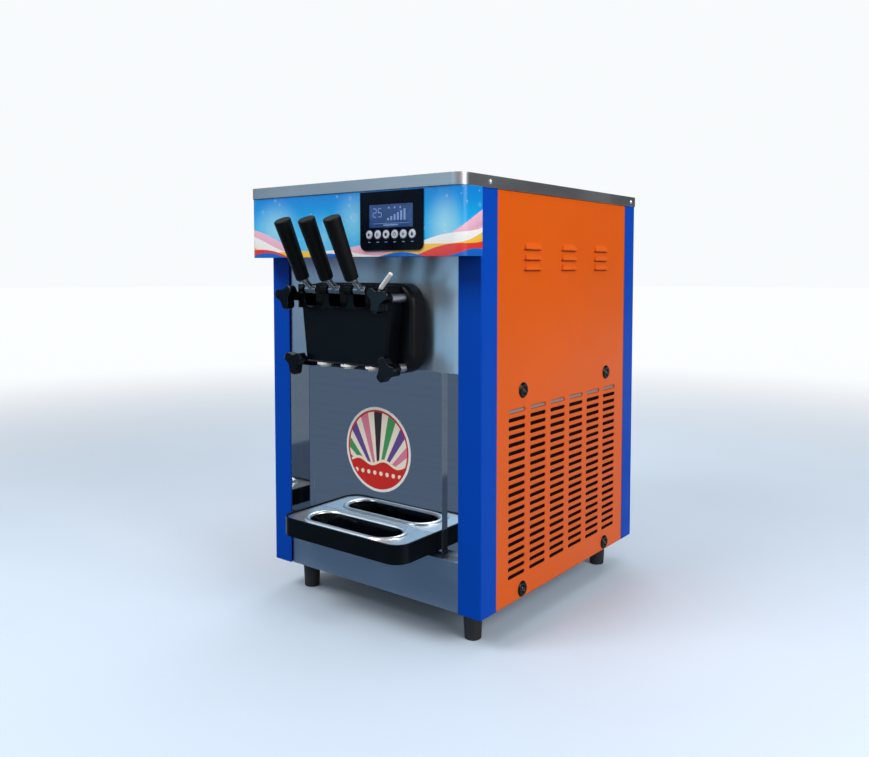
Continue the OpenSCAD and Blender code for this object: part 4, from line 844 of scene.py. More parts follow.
@dataclass(frozen=True)
class ScreenFinish(Finish):
    """The display's window: a dim blue screen with a faint cell grid under gloss."""

    colour: Colour = display(46, 76, 132)
    tones: Point = (0.8, 1.2)
    pitch: float = 0.0016
    line_from: float = 0.75
    line_share: float = 0.25
    line_tone: float = 0.5
    glow: float = 0.12
    roughness: Point = (0.12, 0.26)

    def look(self, wiring: Wiring) -> Look:
        """Wires the grid, a soft unevenness and a faint glow.

        Args:
            wiring: The material's tree.

        Returns:
            What the shader's inputs take, by name.
        """
        place = wiring.place()
        across, _, height = wiring.axes(place)
        turns = [wiring.times(value, math.tau / self.pitch) for value in (across, height)]
        waves = [wiring.math("SINE", turn) for turn in turns]
        lines = wiring.math("MAXIMUM", *[wiring.remap(wave, self.line_from, 1.0) for wave in waves])
        cloud = wiring.remap(wiring.noise(place, scale=40.0, detail=3.0), 0.3, 0.7)
        body = wiring.tones(cloud, self.colour, *self.tones)
        shown = wiring.mix(wiring.times(lines, self.line_share), body, scaled(self.colour, self.line_tone))
        touch = wiring.effect(Effect.HANDLING)
        return {"Base Color": shown, "Emission Color": shown, "Emission Strength": self.glow,
                "Roughness": wiring.remap(touch["Smudge"], 0.0, 1.0, *self.roughness)}


@dataclass(frozen=True)
class LitFinish(Finish):
    """A lit display segment."""

    colour: Colour = display(122, 150, 198)
    dim: float = 0.8
    glow: float = 0.2
    roughness: float = 0.4

    def look(self, wiring: Wiring) -> Look:
        """Wires a slightly uneven glow.

        Args:
            wiring: The material's tree.

        Returns:
            What the shader's inputs take, by name.
        """
        cloud = wiring.noise(wiring.place(), scale=120.0)
        shown = wiring.tones(cloud, self.colour, self.dim)
        return {"Base Color": shown, "Emission Color": shown, "Emission Strength": self.glow,
                "Roughness": self.roughness}


@dataclass(frozen=True)
class FloorFinish(Finish):
    """The studio's pale floor, which fades into the backdrop far away."""

    backdrop: Colour
    colour: Colour = display(200, 214, 229)
    dim: float = 0.985
    near: float = 1.2
    far: float = 4.5
    roughness: float = 0.6
    specular: float = 0.1

    def look(self, wiring: Wiring) -> Look:
        """Wires a faint unevenness and the fade.

        Args:
            wiring: The material's tree.

        Returns:
            What the shader's inputs take, by name.
        """
        place = wiring.place()
        cloud = wiring.remap(wiring.noise(place, scale=3.0, detail=4.0), 0.3, 0.7)
        pale = wiring.tones(cloud, self.colour, self.dim)
        fade = wiring.remap(wiring.vector("LENGTH", place).outputs["Value"], self.near, self.far)
        return {"Base Color": wiring.mix(fade, pale, BLACK),
                "Emission Color": wiring.mix(fade, BLACK, self.backdrop), "Emission Strength": 1.0,
                "Roughness": self.roughness, "Specular IOR Level": self.specular}


# The orange coat's wide edge band is lightened: a painted highlight round the louvres and panel edges,
# besides their rounded shading.
ORANGE_COAT = PaintFinish("orange_coat", display(232, 96, 8), roughness=0.32, edge_radius=0.003,
                          specular=0.17)
BLUE_COAT = PaintFinish("blue_coat", display(2, 74, 190), specular=0.06)
ENAMEL = PaintFinish("motor_enamel", display(66, 70, 74), roughness=0.5)
GLOSS_ENAMEL = PaintFinish("compressor_enamel", display(26, 27, 29), roughness=0.28)
FILTER_FRAME = PaintFinish("filter_frame", display(158, 134, 126), roughness=0.5)

BRUSHED = SteelFinish("brushed_steel", display(196, 200, 206))
COVER_STEEL = SteelFinish("cover_steel", display(174, 173, 173), roughness=0.42, spread=0.14)
SATIN = SteelFinish("satin_steel", (0.63, 0.67, 0.71), spread=0.06, stretch=(900.0, 900.0, 7.0),
                    upright_blur=0.9)
MIRROR = SteelFinish("mirror_steel", (0.56, 0.59, 0.63), roughness=0.045, spread=0.03, grain=0.01)
SLATE_STEEL = SteelFinish("lower_panel_steel", display(158, 172, 190))
DECK_STEEL = SteelFinish("deck_steel", (0.80, 0.82, 0.84), roughness=0.30, spread=0.05, grain=0.04)
BRIGHT = SteelFinish("bright_steel", display(226, 228, 230), spread=0.08, stretch=(500.0, 60.0, 500.0),
                     grain=0.05)
# The levers' steel is a darker copy of the bright steel: a painted dark reflection on the necks and hubs.
DARKENED_LEVER_STEEL = SteelFinish("lever_steel_painted_dark", display(150, 153, 157), roughness=0.20, spread=0.08,
                          stretch=(500.0, 500.0, 60.0), grain=0.05)

BLACK_MOULDED = MouldedFinish("black_moulded", display(4, 8, 12), roughness=0.36, dust=0.03, specular=0.14)
# The collar's and the knobs' wide edge bands are lightened: a painted highlight along their rounded edges.
BLACK_COLLAR = MouldedFinish("black_collar", display(7, 7, 8), edge_radius=0.003, dust=0.02, specular=0.2)
BLACK_GRIP = MouldedFinish("black_grip", display(6, 6, 5), roughness=0.50, grain_scale=2200.0, dust=0.02,
                           specular=0.18)
BLACK_KNOB = MouldedFinish("black_knob", display(5, 6, 7), roughness=0.22, depth=0.00003, edge_radius=0.002,
                           dust=0.0, specular=0.3)
BLACK_DISH = MouldedFinish("black_dish", display(4, 7, 12), roughness=0.16, depth=0.00001, dust=0.0,
                           specular=0.1)
RUBBER = MouldedFinish("foot_rubber", display(24, 24, 25), roughness=0.62, grain_scale=1100.0)
CUP_BLACK = MouldedFinish("cup_black", display(8, 8, 9), roughness=0.28, depth=0.00002, dust=0.0,
                          specular=0.14)
NYLON = MouldedFinish("white_nylon", display(246, 247, 248), roughness=0.38, depth=0.00002, dust=0.0)
MEMBRANE = MouldedFinish("membrane", display(3, 7, 20), roughness=0.30, depth=0.00002, dust=0.0,
                         specular=0.08)
PEARL_CAP = MouldedFinish("pearl_cap", display(200, 207, 222), roughness=0.30, depth=0.00002, dust=0.0)
INK = MouldedFinish("icon_ink", display(18, 20, 34), roughness=0.45, dust=0.0)
MARK_INK = MouldedFinish("mark_ink", display(150, 158, 174), roughness=0.45, dust=0.0)
BEZEL = MouldedFinish("button_bezel", display(40, 46, 66), roughness=0.32, dust=0.0)
FILTER_MAT = MouldedFinish("filter_mat", display(22, 15, 13), roughness=0.8, grain_scale=700.0,
                           depth=0.0004, specular=0.1)

SHADED_ZINC = ZincFinish("zinc_sheet_shaded")
FINS = FinFinish("condenser_fins")
SCREEN = ScreenFinish("display_screen")
LIT = LitFinish("display_segment")


def dress(finish: Finish, *nodes: str) -> None:
    """Puts a finish on CAD nodes.

    Args:
        finish: The finish.
        nodes: The nodes' names.
    """
    for name in nodes:
        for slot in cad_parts[name].material_slots:
            slot.material = finish.material()
        LOG.info("%s wears %s", name, finish.name)


def object_of(name: str, mesh: Mesh, material: bpy.types.Material) -> bpy.types.Object:
    """Makes an object in the scene.

    Args:
        name: Its name.
        mesh: Its shape in frame coordinates, which is freed.
        material: Its material.

    Returns:
        The new object.
    """
    data = bpy.data.meshes.new(name)
    mesh.to_mesh(data)
    mesh.free()
    data.materials.append(material)
    made = bpy.data.objects.new(name, data)
    bpy.context.scene.collection.objects.link(made)
    return made


def piece(name: str, mesh: Mesh, finish: Finish, body: str,
          smooth_deg: float = 35.0) -> None:
    """Makes a piece of a mesh and sets it on a CAD body.

    Args:
        name: The piece's name.
        mesh: Its mesh, in frame coordinates, which is freed.
        finish: Its finish.
        body: The CAD body that it moves with.
        smooth_deg: Edges sharper than this stay sharp.
    """
    bmesh.ops.recalc_face_normals(mesh, faces=mesh.faces)
    made = object_of(name, mesh, finish.material())
    made.data.shade_smooth()
    made.data.set_sharp_from_angle(angle=math.radians(smooth_deg))
    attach(made, body)
    LOG.info("%s rides on %s, %d faces", name, body, len(made.data.polygons))


CORNER_STEPS, ROD_STEPS, BEZEL_STEPS = 5, 32, 48


def arc(centre: Point, radius: float, start_deg: float, end_deg: float, steps: int) -> Outline:
    """Points along an arc in X and Z, both ends included."""
    turns = [math.radians(start_deg + (end_deg - start_deg) * i / steps) for i in range(steps + 1)]
    return [(centre[0] + radius * math.cos(t), centre[1] + radius * math.sin(t)) for t in turns]


def disc(centre: Point, radius: float, steps: int) -> Outline:
    """Outline of a disc in X and Z."""
    return arc(centre, radius, 0.0, 360.0, steps)[:-1]


def bar(centre: Point, width: float, height: float, corner: float) -> Outline:
    """Outline of a bar with round corners in X and Z.

    Args:
        centre: Its middle.
        width: Its size in X.
        height: Its size in Z.
        corner: Radius of its corners.

    Returns:
        The closed outline.
    """
    dx, dz = width / 2 - corner, height / 2 - corner
    corners = ((dx, dz, 0.0), (-dx, dz, 90.0), (-dx, -dz, 180.0), (dx, -dz, 270.0))
    return [p for x, z, turn in corners
            for p in arc((centre[0] + x, centre[1] + z), corner, turn, turn + 90.0, CORNER_STEPS)]


def stroke(path: Sequence[Point], width: float) -> Outline:
    """Outline of a line of even width along an open path in X and Z.

    Args:
        path: The points it follows.
        width: Its width.

    Returns:
        The closed outline.
    """
    left, right = [], []
    for i, point in enumerate(path):
        before, after = Vector(path[max(i - 1, 0)]), Vector(path[min(i + 1, len(path) - 1)])
        along = (after - before).normalized()
        aside = Vector((-along.y, along.x)) * (width / 2)
        left.append((point[0] + aside.x, point[1] + aside.y))
        right.append((point[0] - aside.x, point[1] - aside.y))
    return left + right[::-1]


def bridge(mesh: Mesh, rows: list[list[bmesh.types.BMVert]], looped: bool = False) -> None:
    """Joins each row of points, closed on itself, to the next one with faces.

    Args:
        mesh: The mesh that holds the points.
        rows: Rows of like length.
        looped: Whether the last row joins the first.
    """
    for row, after in zip(rows, rows[1:] + rows[:1] if looped else rows[1:]):
        for i in range(len(row)):
            j = (i + 1) % len(row)
            mesh.faces.new((row[i], row[j], after[j], after[i]))


def raised(outlines: Sequence[Outline], front: float, back: float, ease: float = 0.00006) -> Mesh:
    """Low flat pieces on a front face, each with an eased front edge.

    Args:
        outlines: The pieces' outlines in X and Z.
        front: Y of their front faces.
        back: Y of their backs.
        ease: How far the front edge is drawn in and back.

    Returns:
        One mesh that holds them all.
    """
    mesh = bmesh.new()
    for outline in outlines:
        middle = Vector((sum(p[0] for p in outline), sum(p[1] for p in outline))) / len(outline)
        rows = []
        for y, pull in ((back, 0.0), (front + ease, 0.0), (front, ease)):
            drawn = [(x, z, (middle - Vector((x, z))).normalized() * pull) for x, z in outline]
            rows.append([mesh.verts.new((x + inward.x, y, z + inward.y)) for x, z, inward in drawn])
        bridge(mesh, rows)
        mesh.faces.new(rows[-1])
        mesh.faces.new(rows[0][::-1])
    return mesh


def upright(outline: Outline, low: float, high: float) -> Mesh:
    """A closed outline in X and Y drawn up from one height to another.

    Args:
        outline: The plan, whose second half runs back along its first half.
        low: Height of the foot.
        high: Height of the top.

    Returns:
        The closed mesh.
    """
    mesh = bmesh.new()
    rows = [[mesh.verts.new((x, y, z)) for x, y in outline] for z in (low, high)]
    bridge(mesh, rows)
    for row in rows:
        for i in range(len(outline) // 2 - 1):
            mesh.faces.new((row[i], row[i + 1], row[-i - 2], row[-i - 1]))
    return mesh


def ring(outer: Outline, inner: Outline, front: float, back: float) -> Mesh:
    """A frame between two outlines of like length in X and Z, from front to back.

    Args:
        outer: The frame's outside.
        inner: Its opening.
        front: Y of the front face.
        back: Y of the rear face.

    Returns:
        The closed mesh.
    """
    mesh = bmesh.new()
    rows = [[mesh.verts.new((x, y, z)) for x, z in outline]
            for outline, y in ((outer, front), (outer, back), (inner, back), (inner, front))]
    bridge(mesh, rows, looped=True)
    return mesh


def circle(steps: int) -> list[float]:
    """Even turns round a circle, in radians."""
    return [math.tau * i / steps for i in range(steps)]


def turned(axes: Sequence[Point], profile: Sequence[Point]) -> Mesh:
    """Rings turned about lines along Y.

    Args:
        axes: X and Z of each ring's axis.
        profile: Closed profile as radius and Y.

    Returns:
        One mesh that holds all the rings.
    """
    mesh = bmesh.new()
    for x, z in axes:
        rows = [[mesh.verts.new((x + r * math.cos(turn), y, z + r * math.sin(turn))) for r, y in profile]
                for turn in circle(BEZEL_STEPS)]
        bridge(mesh, rows, looped=True)
    return mesh


def rod(start: Vector, end: Vector, profile: Sequence[Point], capped: bool = True) -> Mesh:
    """A round rod along a line.

    Args:
        start: Where the line starts.
        end: Where it ends.
        profile: Distance along the line and radius, from the first ring to the last.
        capped: Whether the ends are closed; a profile that comes back to its start needs no caps.

    Returns:
        The closed mesh.
    """
    along = (end - start).normalized()
    aside = along.orthogonal().normalized()
    across = along.cross(aside)
    mesh = bmesh.new()
    rows = [[mesh.verts.new(start + along * far + (aside * math.cos(t) + across * math.sin(t)) * radius)
             for t in circle(ROD_STEPS)] for far, radius in profile]
    bridge(mesh, rows)
    if capped:
        mesh.faces.new(rows[0][::-1])
        mesh.faces.new(rows[-1])
    else:
        bmesh.ops.remove_doubles(mesh, verts=rows[0] + rows[-1], dist=1e-7)
    return mesh


class Icon(Enum):
    """Plain signs on the six buttons, from left to right."""

    RUN = 1
    PAUSE = 2
    STOP = 3
    POWER = 4
    MORE = 5
    DROP = 6

    def outlines(self, centre: Point, reach: float) -> list[Outline]:
        """Returns the sign's outlines round a centre, at most reach away.

        Args:
            centre: The sign's middle.
            reach: Half its size.

        Returns:
            Its closed outlines.
        """
        x, z = centre
        thin = reach * 0.34
        if self is Icon.RUN:
            back, half = x - 0.6 * reach, 0.8 * reach
            return [[(back, z - half), (x + 0.85 * reach, z), (back, z + half)]]
        if self is Icon.PAUSE:
            return [bar((x + side * 0.42 * reach, z), thin, 1.5 * reach, thin * 0.3) for side in (-1, 1)]
        if self is Icon.STOP:
            return [bar(centre, 1.25 * reach, 1.25 * reach, 0.15 * reach)]
        if self is Icon.POWER:
            return [stroke(arc(centre, 0.72 * reach, 125.0, 415.0, 28), thin * 0.8),
                    bar((x, z + 0.55 * reach), thin * 0.8, 0.9 * reach, thin * 0.2)]
        if self is Icon.MORE:
            half, arm = thin * 0.9 / 2, 1.6 * reach / 2
            quarters = ((1, 0), (0, 1), (-1, 0), (0, -1))
            return [[(x + c * a - s * b, z + s * a + c * b) for c, s in quarters
                     for a, b in ((half, half), (half, arm), (-half, arm))]]
        return [[(x, z + reach), *arc((x, z - 0.3 * reach), 0.62 * reach, 155.0, 385.0, 22)]]


class Assembly:
    """A sub-assembly, which makes pieces of its own and dresses its CAD nodes."""

    def build(self) -> None:
        """Makes the sub-assembly's own pieces, if it has any."""

    def dress(self) -> None:
        """Puts finishes on the sub-assembly's CAD nodes."""
        raise NotImplementedError


# Middle of each segment of a figure, in shares of its size, and whether the segment lies level.
SEGMENTS: dict[str, tuple[float, float, bool]] = {
    "a": (0.5, 1.0, True), "b": (1.0, 0.75, False), "c": (1.0, 0.25, False), "d": (0.5, 0.0, True),
    "e": (0.0, 0.25, False), "f": (0.0, 0.75, False), "g": (0.5, 0.5, True),
}


@dataclass(frozen=True)
class ScreenLayout:
    """Where the display's signs sit, in shares of its width and height."""

    figures: tuple[str, ...] = ("abged", "afgcd")
    figure_at: Point = (0.09, 0.46)
    figure_step: float = 0.12
    figure_size: Point = (0.075, 0.36)
    bars: int = 6
    bar_at: Point = (0.44, 0.30)
    bar_step: float = 0.075
    bar_width: float = 0.55
    bar_rise: Point = (0.10, 0.075)
    bar_corner: float = 0.0004
    dots: int = 3
    dot_at: Point = (0.46, 0.84)
    dot_step: float = 0.13
    dot_radius: float = 0.045
    dot_steps: int = 24
    lines: tuple[tuple[float, float, float, float], ...] = ((0.17, 0.84, 0.0007, 0.0003),
                                                            (0.10, 0.34, 0.0022, 0.0008))


@dataclass
class ControlFace(Assembly):
    """The control panel: membrane, display and six buttons."""

    sign_reach: float = 0.0042
    sign_proud: float = 0.00005
    sign_root: float = 0.0008
    bezel_gap: float = 0.0006
    bezel_width: float = 0.0009
    bezel_proud: float = 0.0005
    bezel_eases: Point = (0.0002, 0.0003)
    root: float = 0.0002
    mark_width: float = 0.0062
    mark_height: float = 0.0012
    mark_drop: float = 0.0135
    mark_proud: float = 0.00012
    segment_proud: float = 0.0002
    segment_root: float = 0.0003
    segment_ease: float = 0.00003
    layout: ScreenLayout = ScreenLayout()

    def build(self) -> None:
        """Makes the signs, bezels, marks and display segments."""
        centres = []
        for icon in Icon:
            low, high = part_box(f"button_{icon.value}")
            centre = ((low.x + high.x) / 2, (low.z + high.z) / 2)
            centres.append(centre)
            signs = icon.outlines(centre, self.sign_reach)
            mesh = raised(signs, low.y - self.sign_proud, low.y + self.sign_root)
            piece(f"button_sign_{icon.value}", mesh, INK, f"button_{icon.value}")
        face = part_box("control_panel")[0].y
        inner = (high.x - low.x) / 2 + self.bezel_gap
        outer = inner + self.bezel_width
        root, top = face + self.root, face - self.bezel_proud
        inside, outside = self.bezel_eases
        profile = [(inner, root), (inner, top + inside), (inner + inside, top), (outer - outside, top),
                   (outer, top + outside), (outer, root)]
        piece("button_bezels", turned(centres, profile), BEZEL, ROOT_BODY)
        marks = [bar((x, z - self.mark_drop), self.mark_width, self.mark_height, self.mark_height * 0.4)
                 for x, z in centres]
        mesh = raised(marks, face - self.mark_proud, root)
        piece("panel_marks", mesh, MARK_INK, ROOT_BODY)
        self._segments()

    def _segments(self) -> None:
        """Makes the display's number, its level bars, its dots and its base lines."""
        low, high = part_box("display_window")
        wide, tall = high.x - low.x, high.z - low.z
        plan = self.layout
        shapes: list[Outline] = []

        def at(across: float, up: float) -> Point:
            """Place on the display from shares of its size."""
            return low.x + wide * across, low.z + tall * up

        for place, lit in enumerate(plan.figures):
            corner = at(plan.figure_at[0] + plan.figure_step * place, plan.figure_at[1])
            shapes += self._figure(lit, corner, wide * plan.figure_size[0], tall * plan.figure_size[1])
        step = wide * plan.bar_step
        for i in range(plan.bars):
            rise = tall * (plan.bar_rise[0] + plan.bar_rise[1] * i)
            x, z = at(*plan.bar_at)
            shapes.append(bar((x + step * i, z + rise / 2), step * plan.bar_width, rise, plan.bar_corner))
        for i in range(plan.dots):
            centre = at(plan.dot_at[0] + plan.dot_step * i, plan.dot_at[1])
            shapes.append(disc(centre, tall * plan.dot_radius, plan.dot_steps))
        for up, share, thick, corner in plan.lines:
            shapes.append(bar(at(0.5, up), wide * share, thick, corner))
        mesh = raised(shapes, low.y - self.segment_proud, low.y + self.segment_root, self.segment_ease)
        piece("display_segments", mesh, LIT, ROOT_BODY)

    def _figure(self, lit: str, corner: Point, width: float, height: float) -> list[Outline]:
        """Outlines of one seven-segment figure.

        Args:
            lit: Names of its lit segments.
            corner: Its lower left corner.
            width: Its size in X.
            height: Its size in Z.

        Returns:
            Its lit segments.
        """
        thin = width * 0.2
        made = []
        for across, up, level in (SEGMENTS[name] for name in lit):
            centre = (corner[0] + across * width, corner[1] + up * height)
            long = (width if level else height / 2) * 0.86
            made.append(bar(centre, *((long, thin) if level else (thin, long)), thin * 0.3))
        return made

    def dress(self) -> None:
        """Puts finishes on the panel's CAD nodes."""
        dress(MEMBRANE, "control_panel")
        dress(SCREEN, "display_window")
        dress(PEARL_CAP, *[f"button_{icon.value}" for icon in Icon])


@dataclass(frozen=True)
class FilterPlace:
    """Where one air filter sits: built facing the back, then turned about the frame's upright axis."""

    name: str
    middle: float
    half: float
    face: float
    low: float
    high: float
    rim: float = 0.007
    turn_deg: float = 0.0


@dataclass
class Cabinet(Assembly):
    """Posts, panels, cover, feet and their fixings, with air filters behind the vents."""

    filters: tuple[FilterPlace, ...] = (
        FilterPlace("rear_filter", 0.0, 0.152, 0.3946, 0.172, 0.399),
        FilterPlace("left_filter", 0.087, 0.2415, 0.2674, 0.099, 0.4310, 0.0085, 90.0),
        FilterPlace("right_filter", -0.087, 0.2415, 0.2674, 0.099, 0.4310, 0.0085, -90.0),
    )
    pleat_pitch: float = 0.008
    pleat_depth: float = 0.0046
    pleat_thick: float = 0.0008
    pleat_inset: float = 0.0004
    frame_behind: float = 0.002
    frame_corners: Point = (0.004, 0.001)

    def build(self) -> None:
        """Makes a pleated mat and a frame for each filter."""
        for place in self.filters:
            turn = Matrix.Rotation(math.radians(place.turn_deg), 3, "Z")
            for part, mesh, finish, smooth_deg in (("mat", self._mat(place), FILTER_MAT, 20.0),
                                                   ("frame", self._rim(place), FILTER_FRAME, 35.0)):
                bmesh.ops.rotate(mesh, cent=(0.0, 0.0, 0.0), matrix=turn, verts=mesh.verts)
                piece(f"{place.name}_{part}", mesh, finish, ROOT_BODY, smooth_deg)

    def _mat(self, place: FilterPlace) -> Mesh:
        """A mat folded into upright pleats.

        Args:
            place: Where the filter sits.

        Returns:
            The mesh.
        """
        half = place.half - place.rim
        folds = 2 * round(2 * half / self.pleat_pitch)
        back = place.face - self.pleat_inset
        crest = [(place.middle - half + 2 * half * i / folds, back - (i % 2) * self.pleat_depth)
                 for i in range(folds + 1)]
        loop = crest + [(x, y - self.pleat_thick) for x, y in reversed(crest)]
        return upright(loop, place.low + place.rim, place.high - place.rim)

    def _rim(self, place: FilterPlace) -> Mesh:
        """The frame round a mat.

        Args:
            place: Where the filter sits.

        Returns:
            The closed mesh.
        """
        centre = (place.middle, (place.low + place.high) / 2)
        wide, tall, rim = 2 * place.half, place.high - place.low, 2 * place.rim
        outside, inside = self.frame_corners
        return ring(bar(centre, wide, tall, outside), bar(centre, wide - rim, tall - rim, inside),
                    place.face - self.pleat_depth - self.frame_behind, place.face)

    def dress(self) -> None:
        """Puts finishes on the cabinet's CAD nodes."""
        dress(BLUE_COAT, "corner_posts")
        dress(ORANGE_COAT, "side_panel_left", "side_panel_right")
        dress(BRUSHED, "rear_panel")
        dress(COVER_STEEL, "top_cover")
        dress(RUBBER, "feet")
        dress(CUP_BLACK, "cup_washers")
        dress(ScrewFinish("screw_plating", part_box("top_cover")[0].z), "panel_screws")
        dress(SHADED_ZINC, "base_pan", "mid_shelf")


@dataclass
class Front(Assembly):
    """Header, front panels and the badge on the splash panel."""

    badge_at: Point = (0.010, 0.335)
    badge_radius: float = 0.084
    badge_steps: int = 96
    badge_proud: float = 0.0003
    badge_root: float = 0.0001

    def build(self) -> None:
        """Makes the round badge that is stuck on the splash panel."""
        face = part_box("splash_panel")[0].y
        outline = disc(self.badge_at, self.badge_radius, self.badge_steps)
        finish = BadgePrintFinish("badge_print", self.badge_at, self.badge_radius)
        mesh = raised([outline], face - self.badge_proud, face + self.badge_root)
        piece("splash_badge", mesh, finish, ROOT_BODY)

    def dress(self) -> None:
        """Puts finishes on the front's CAD nodes."""
        low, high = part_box("header_fascia")
        dress(SkyPrintFinish("sky_print", low.y, low.z, high.z), "header_fascia")
        dress(SATIN, "upper_front_panel")
        dress(MIRROR, "recess_panel", "splash_panel")
        dress(SLATE_STEEL, "lower_front_panel")


@dataclass
class DispensingHead(Assembly):
    """Head, collar, levers, plungers, knobs and nozzles, with sleeves and bushes on the pin and studs."""

    bend: Triple = (0.104, -0.30834, 0.6515)
    bend_lean_deg: float = 43.0
    sleeve_start: float = 0.006
    sleeve_end: float = 0.0432
    sleeve_radius: float = 0.0042
    sleeve_ease: float = 0.0012
    bush_spans: tuple[Point, ...] = ((-0.0955, -0.0845), (-0.0415, -0.0215), (0.0215, 0.0415))
    bush_inner: float = 0.0032
    bush_outer: float = 0.0078
    bush_ease: float = 0.0008
    stud_x: float = 0.119
    stud_rows: tuple[tuple[str, float, float], ...] = (("upper", 0.638, -0.2962), ("lower", 0.510, -0.2742))
    stud_radius: float = 0.0061
    stud_sleeve_radius: float = 0.0078

    def build(self) -> None:
        """Makes the pin's sleeve and bushes and the sleeves on the studs."""
        self._pin_sleeve()
        _, y, z = self.bend
        for i, (left, right) in enumerate(self.bush_spans):
            mesh = self._tube((left, y, z), (right, y, z), self.bush_inner, self.bush_outer)
            piece(f"pin_bush_{i + 1}", mesh, BLACK_MOULDED, ROOT_BODY)
        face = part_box("head_collar")[0].y
        for row, height, lug in self.stud_rows:
            for side, x in (("left", -self.stud_x), ("right", self.stud_x)):
                mesh = self._tube((x, face, height), (x, lug, height),
                                  self.stud_radius, self.stud_sleeve_radius)
                piece(f"stud_sleeve_{row}_{side}", mesh, BRIGHT, ROOT_BODY)

    def _tube(self, start: Triple, end: Triple, inner: float, outer: float) -> Mesh:
        """A tube with eased ends.

        Args:
            start: Middle of its first end.
            end: Middle of its last end.
            inner: Bore radius.
            outer: Outer radius.

        Returns:
            The closed mesh.
        """
        first, last = Vector(start), Vector(end)
        far, ease = (last - first).length, self.bush_ease
        profile = [(0.0, inner), (0.0, outer - ease), (ease, outer), (far - ease, outer),
                   (far, outer - ease), (far, inner), (0.0, inner)]
        return rod(first, last, profile, capped=False)

    def _pin_sleeve(self) -> None:
        """Makes the sleeve on the handle pin's bent end."""
        lean = math.radians(self.bend_lean_deg)
        along = Vector((math.sin(lean), 0.0, math.cos(lean)))
        start = Vector(self.bend)
        radius, ease = self.sleeve_radius, self.sleeve_ease
        profile = [(self.sleeve_start, radius - ease), (self.sleeve_start + ease, radius),
                   (self.sleeve_end - ease, radius), (self.sleeve_end, radius - ease)]
        piece("pin_sleeve", rod(start, start + along, profile), NYLON, "handle_pin")

    def dress(self) -> None:
        """Puts finishes on the head's CAD nodes."""
        sides, rows = ("left", "centre", "right"), ("upper", "lower")
        dress(BLACK_COLLAR, "head_collar")
        dress(BLACK_MOULDED, "dispensing_head")
        dress(BRIGHT, "head_studs", "handle_pin")
        dress(DARKENED_LEVER_STEEL, *[f"lever_{side}" for side in sides])
        dress(BLACK_GRIP, *[f"{part}_{side}" for part in ("grip", "plunger") for side in sides])
        dress(BLACK_KNOB, *[f"knob_{row}_{side}" for row in rows for side in ("left", "right")])
        dress(NYLON, "nozzles", "head_seals")


@dataclass
class DripTray(Assembly):
    """Tray, deck, dish and rails, with thin dark sheets on the splash panel's folds as painted shade."""

    shade_sheet_thick: float = 0.0006
    shade_sheet_rise: float = 0.046

    def build(self) -> None:
        """Makes the two dark sheets on the lower side faces of the splash panel's folds, a painted shade
        behind the tray's ends.
        """
        low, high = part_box("splash_panel")
        for side, edge, out in (("left", low.x, -1), ("right", high.x, 1)):
            # Dark sheet over the fold's side face: painted shade.
            reach = edge + out * self.shade_sheet_thick
            plan = [(edge, low.y), (reach, low.y), (reach, high.y), (edge, high.y)]
            mesh = upright(plan, low.z, low.z + self.shade_sheet_rise)
            piece(f"tray_buffer_{side}", mesh, RUBBER, ROOT_BODY)

    def dress(self) -> None:
        """Puts finishes on the tray's CAD nodes."""
        dress(BLACK_MOULDED, "drip_tray")
        dress(DECK_STEEL, "tray_deck")
        dress(BLACK_DISH, "drip_dish")
        dress(SHADED_ZINC, "tray_rails")


@dataclass
class MixSystem(Assembly):
    """Hoppers, lids, air tubes, freezing cylinders and beaters."""

    def dress(self) -> None:
        """Puts finishes on the mix system's CAD nodes."""
        dress(BRUSHED, "hoppers", "hopper_lid_left", "hopper_lid_right")
        dress(NYLON, "air_tube_left", "air_tube_right", "beater_left", "beater_right")
        dress(SHADED_ZINC, "freezing_cylinders")


@dataclass
class Cooling(Assembly):
    """Compressor, condenser, fan, motors and control box."""

    def dress(self) -> None:
        """Puts finishes on the cooling system's CAD nodes."""
        dress(GLOSS_ENAMEL, "compressor")
        dress(FINS, "condenser")
        dress(ENAMEL, "gear_motors", "fan", "fan_motor", "control_box")


@dataclass(frozen=True)
class Softbox:
    """One large soft light."""

    name: str
    at: Triple
    size: float
    power: float


@dataclass(frozen=True)
class Flag:
    """One toned sheet that only glossy surfaces see, from a low to a high corner."""

    name: str
    low: Triple
    high: Triple
    colour: Colour

    def corners(self) -> list[Triple]:
        """Returns the sheet's corners: flat if both lie at one height, or else upright between them.

        Returns:
            The four corners in order.
        """
        (x0, y0, z0), (x1, y1, z1) = self.low, self.high
        if z0 == z1:
            return [(x0, y0, z0), (x1, y0, z0), (x1, y1, z0), (x0, y1, z0)]
        return [(x0, y0, z0), (x1, y1, z0), (x1, y1, z1), (x0, y0, z1)]


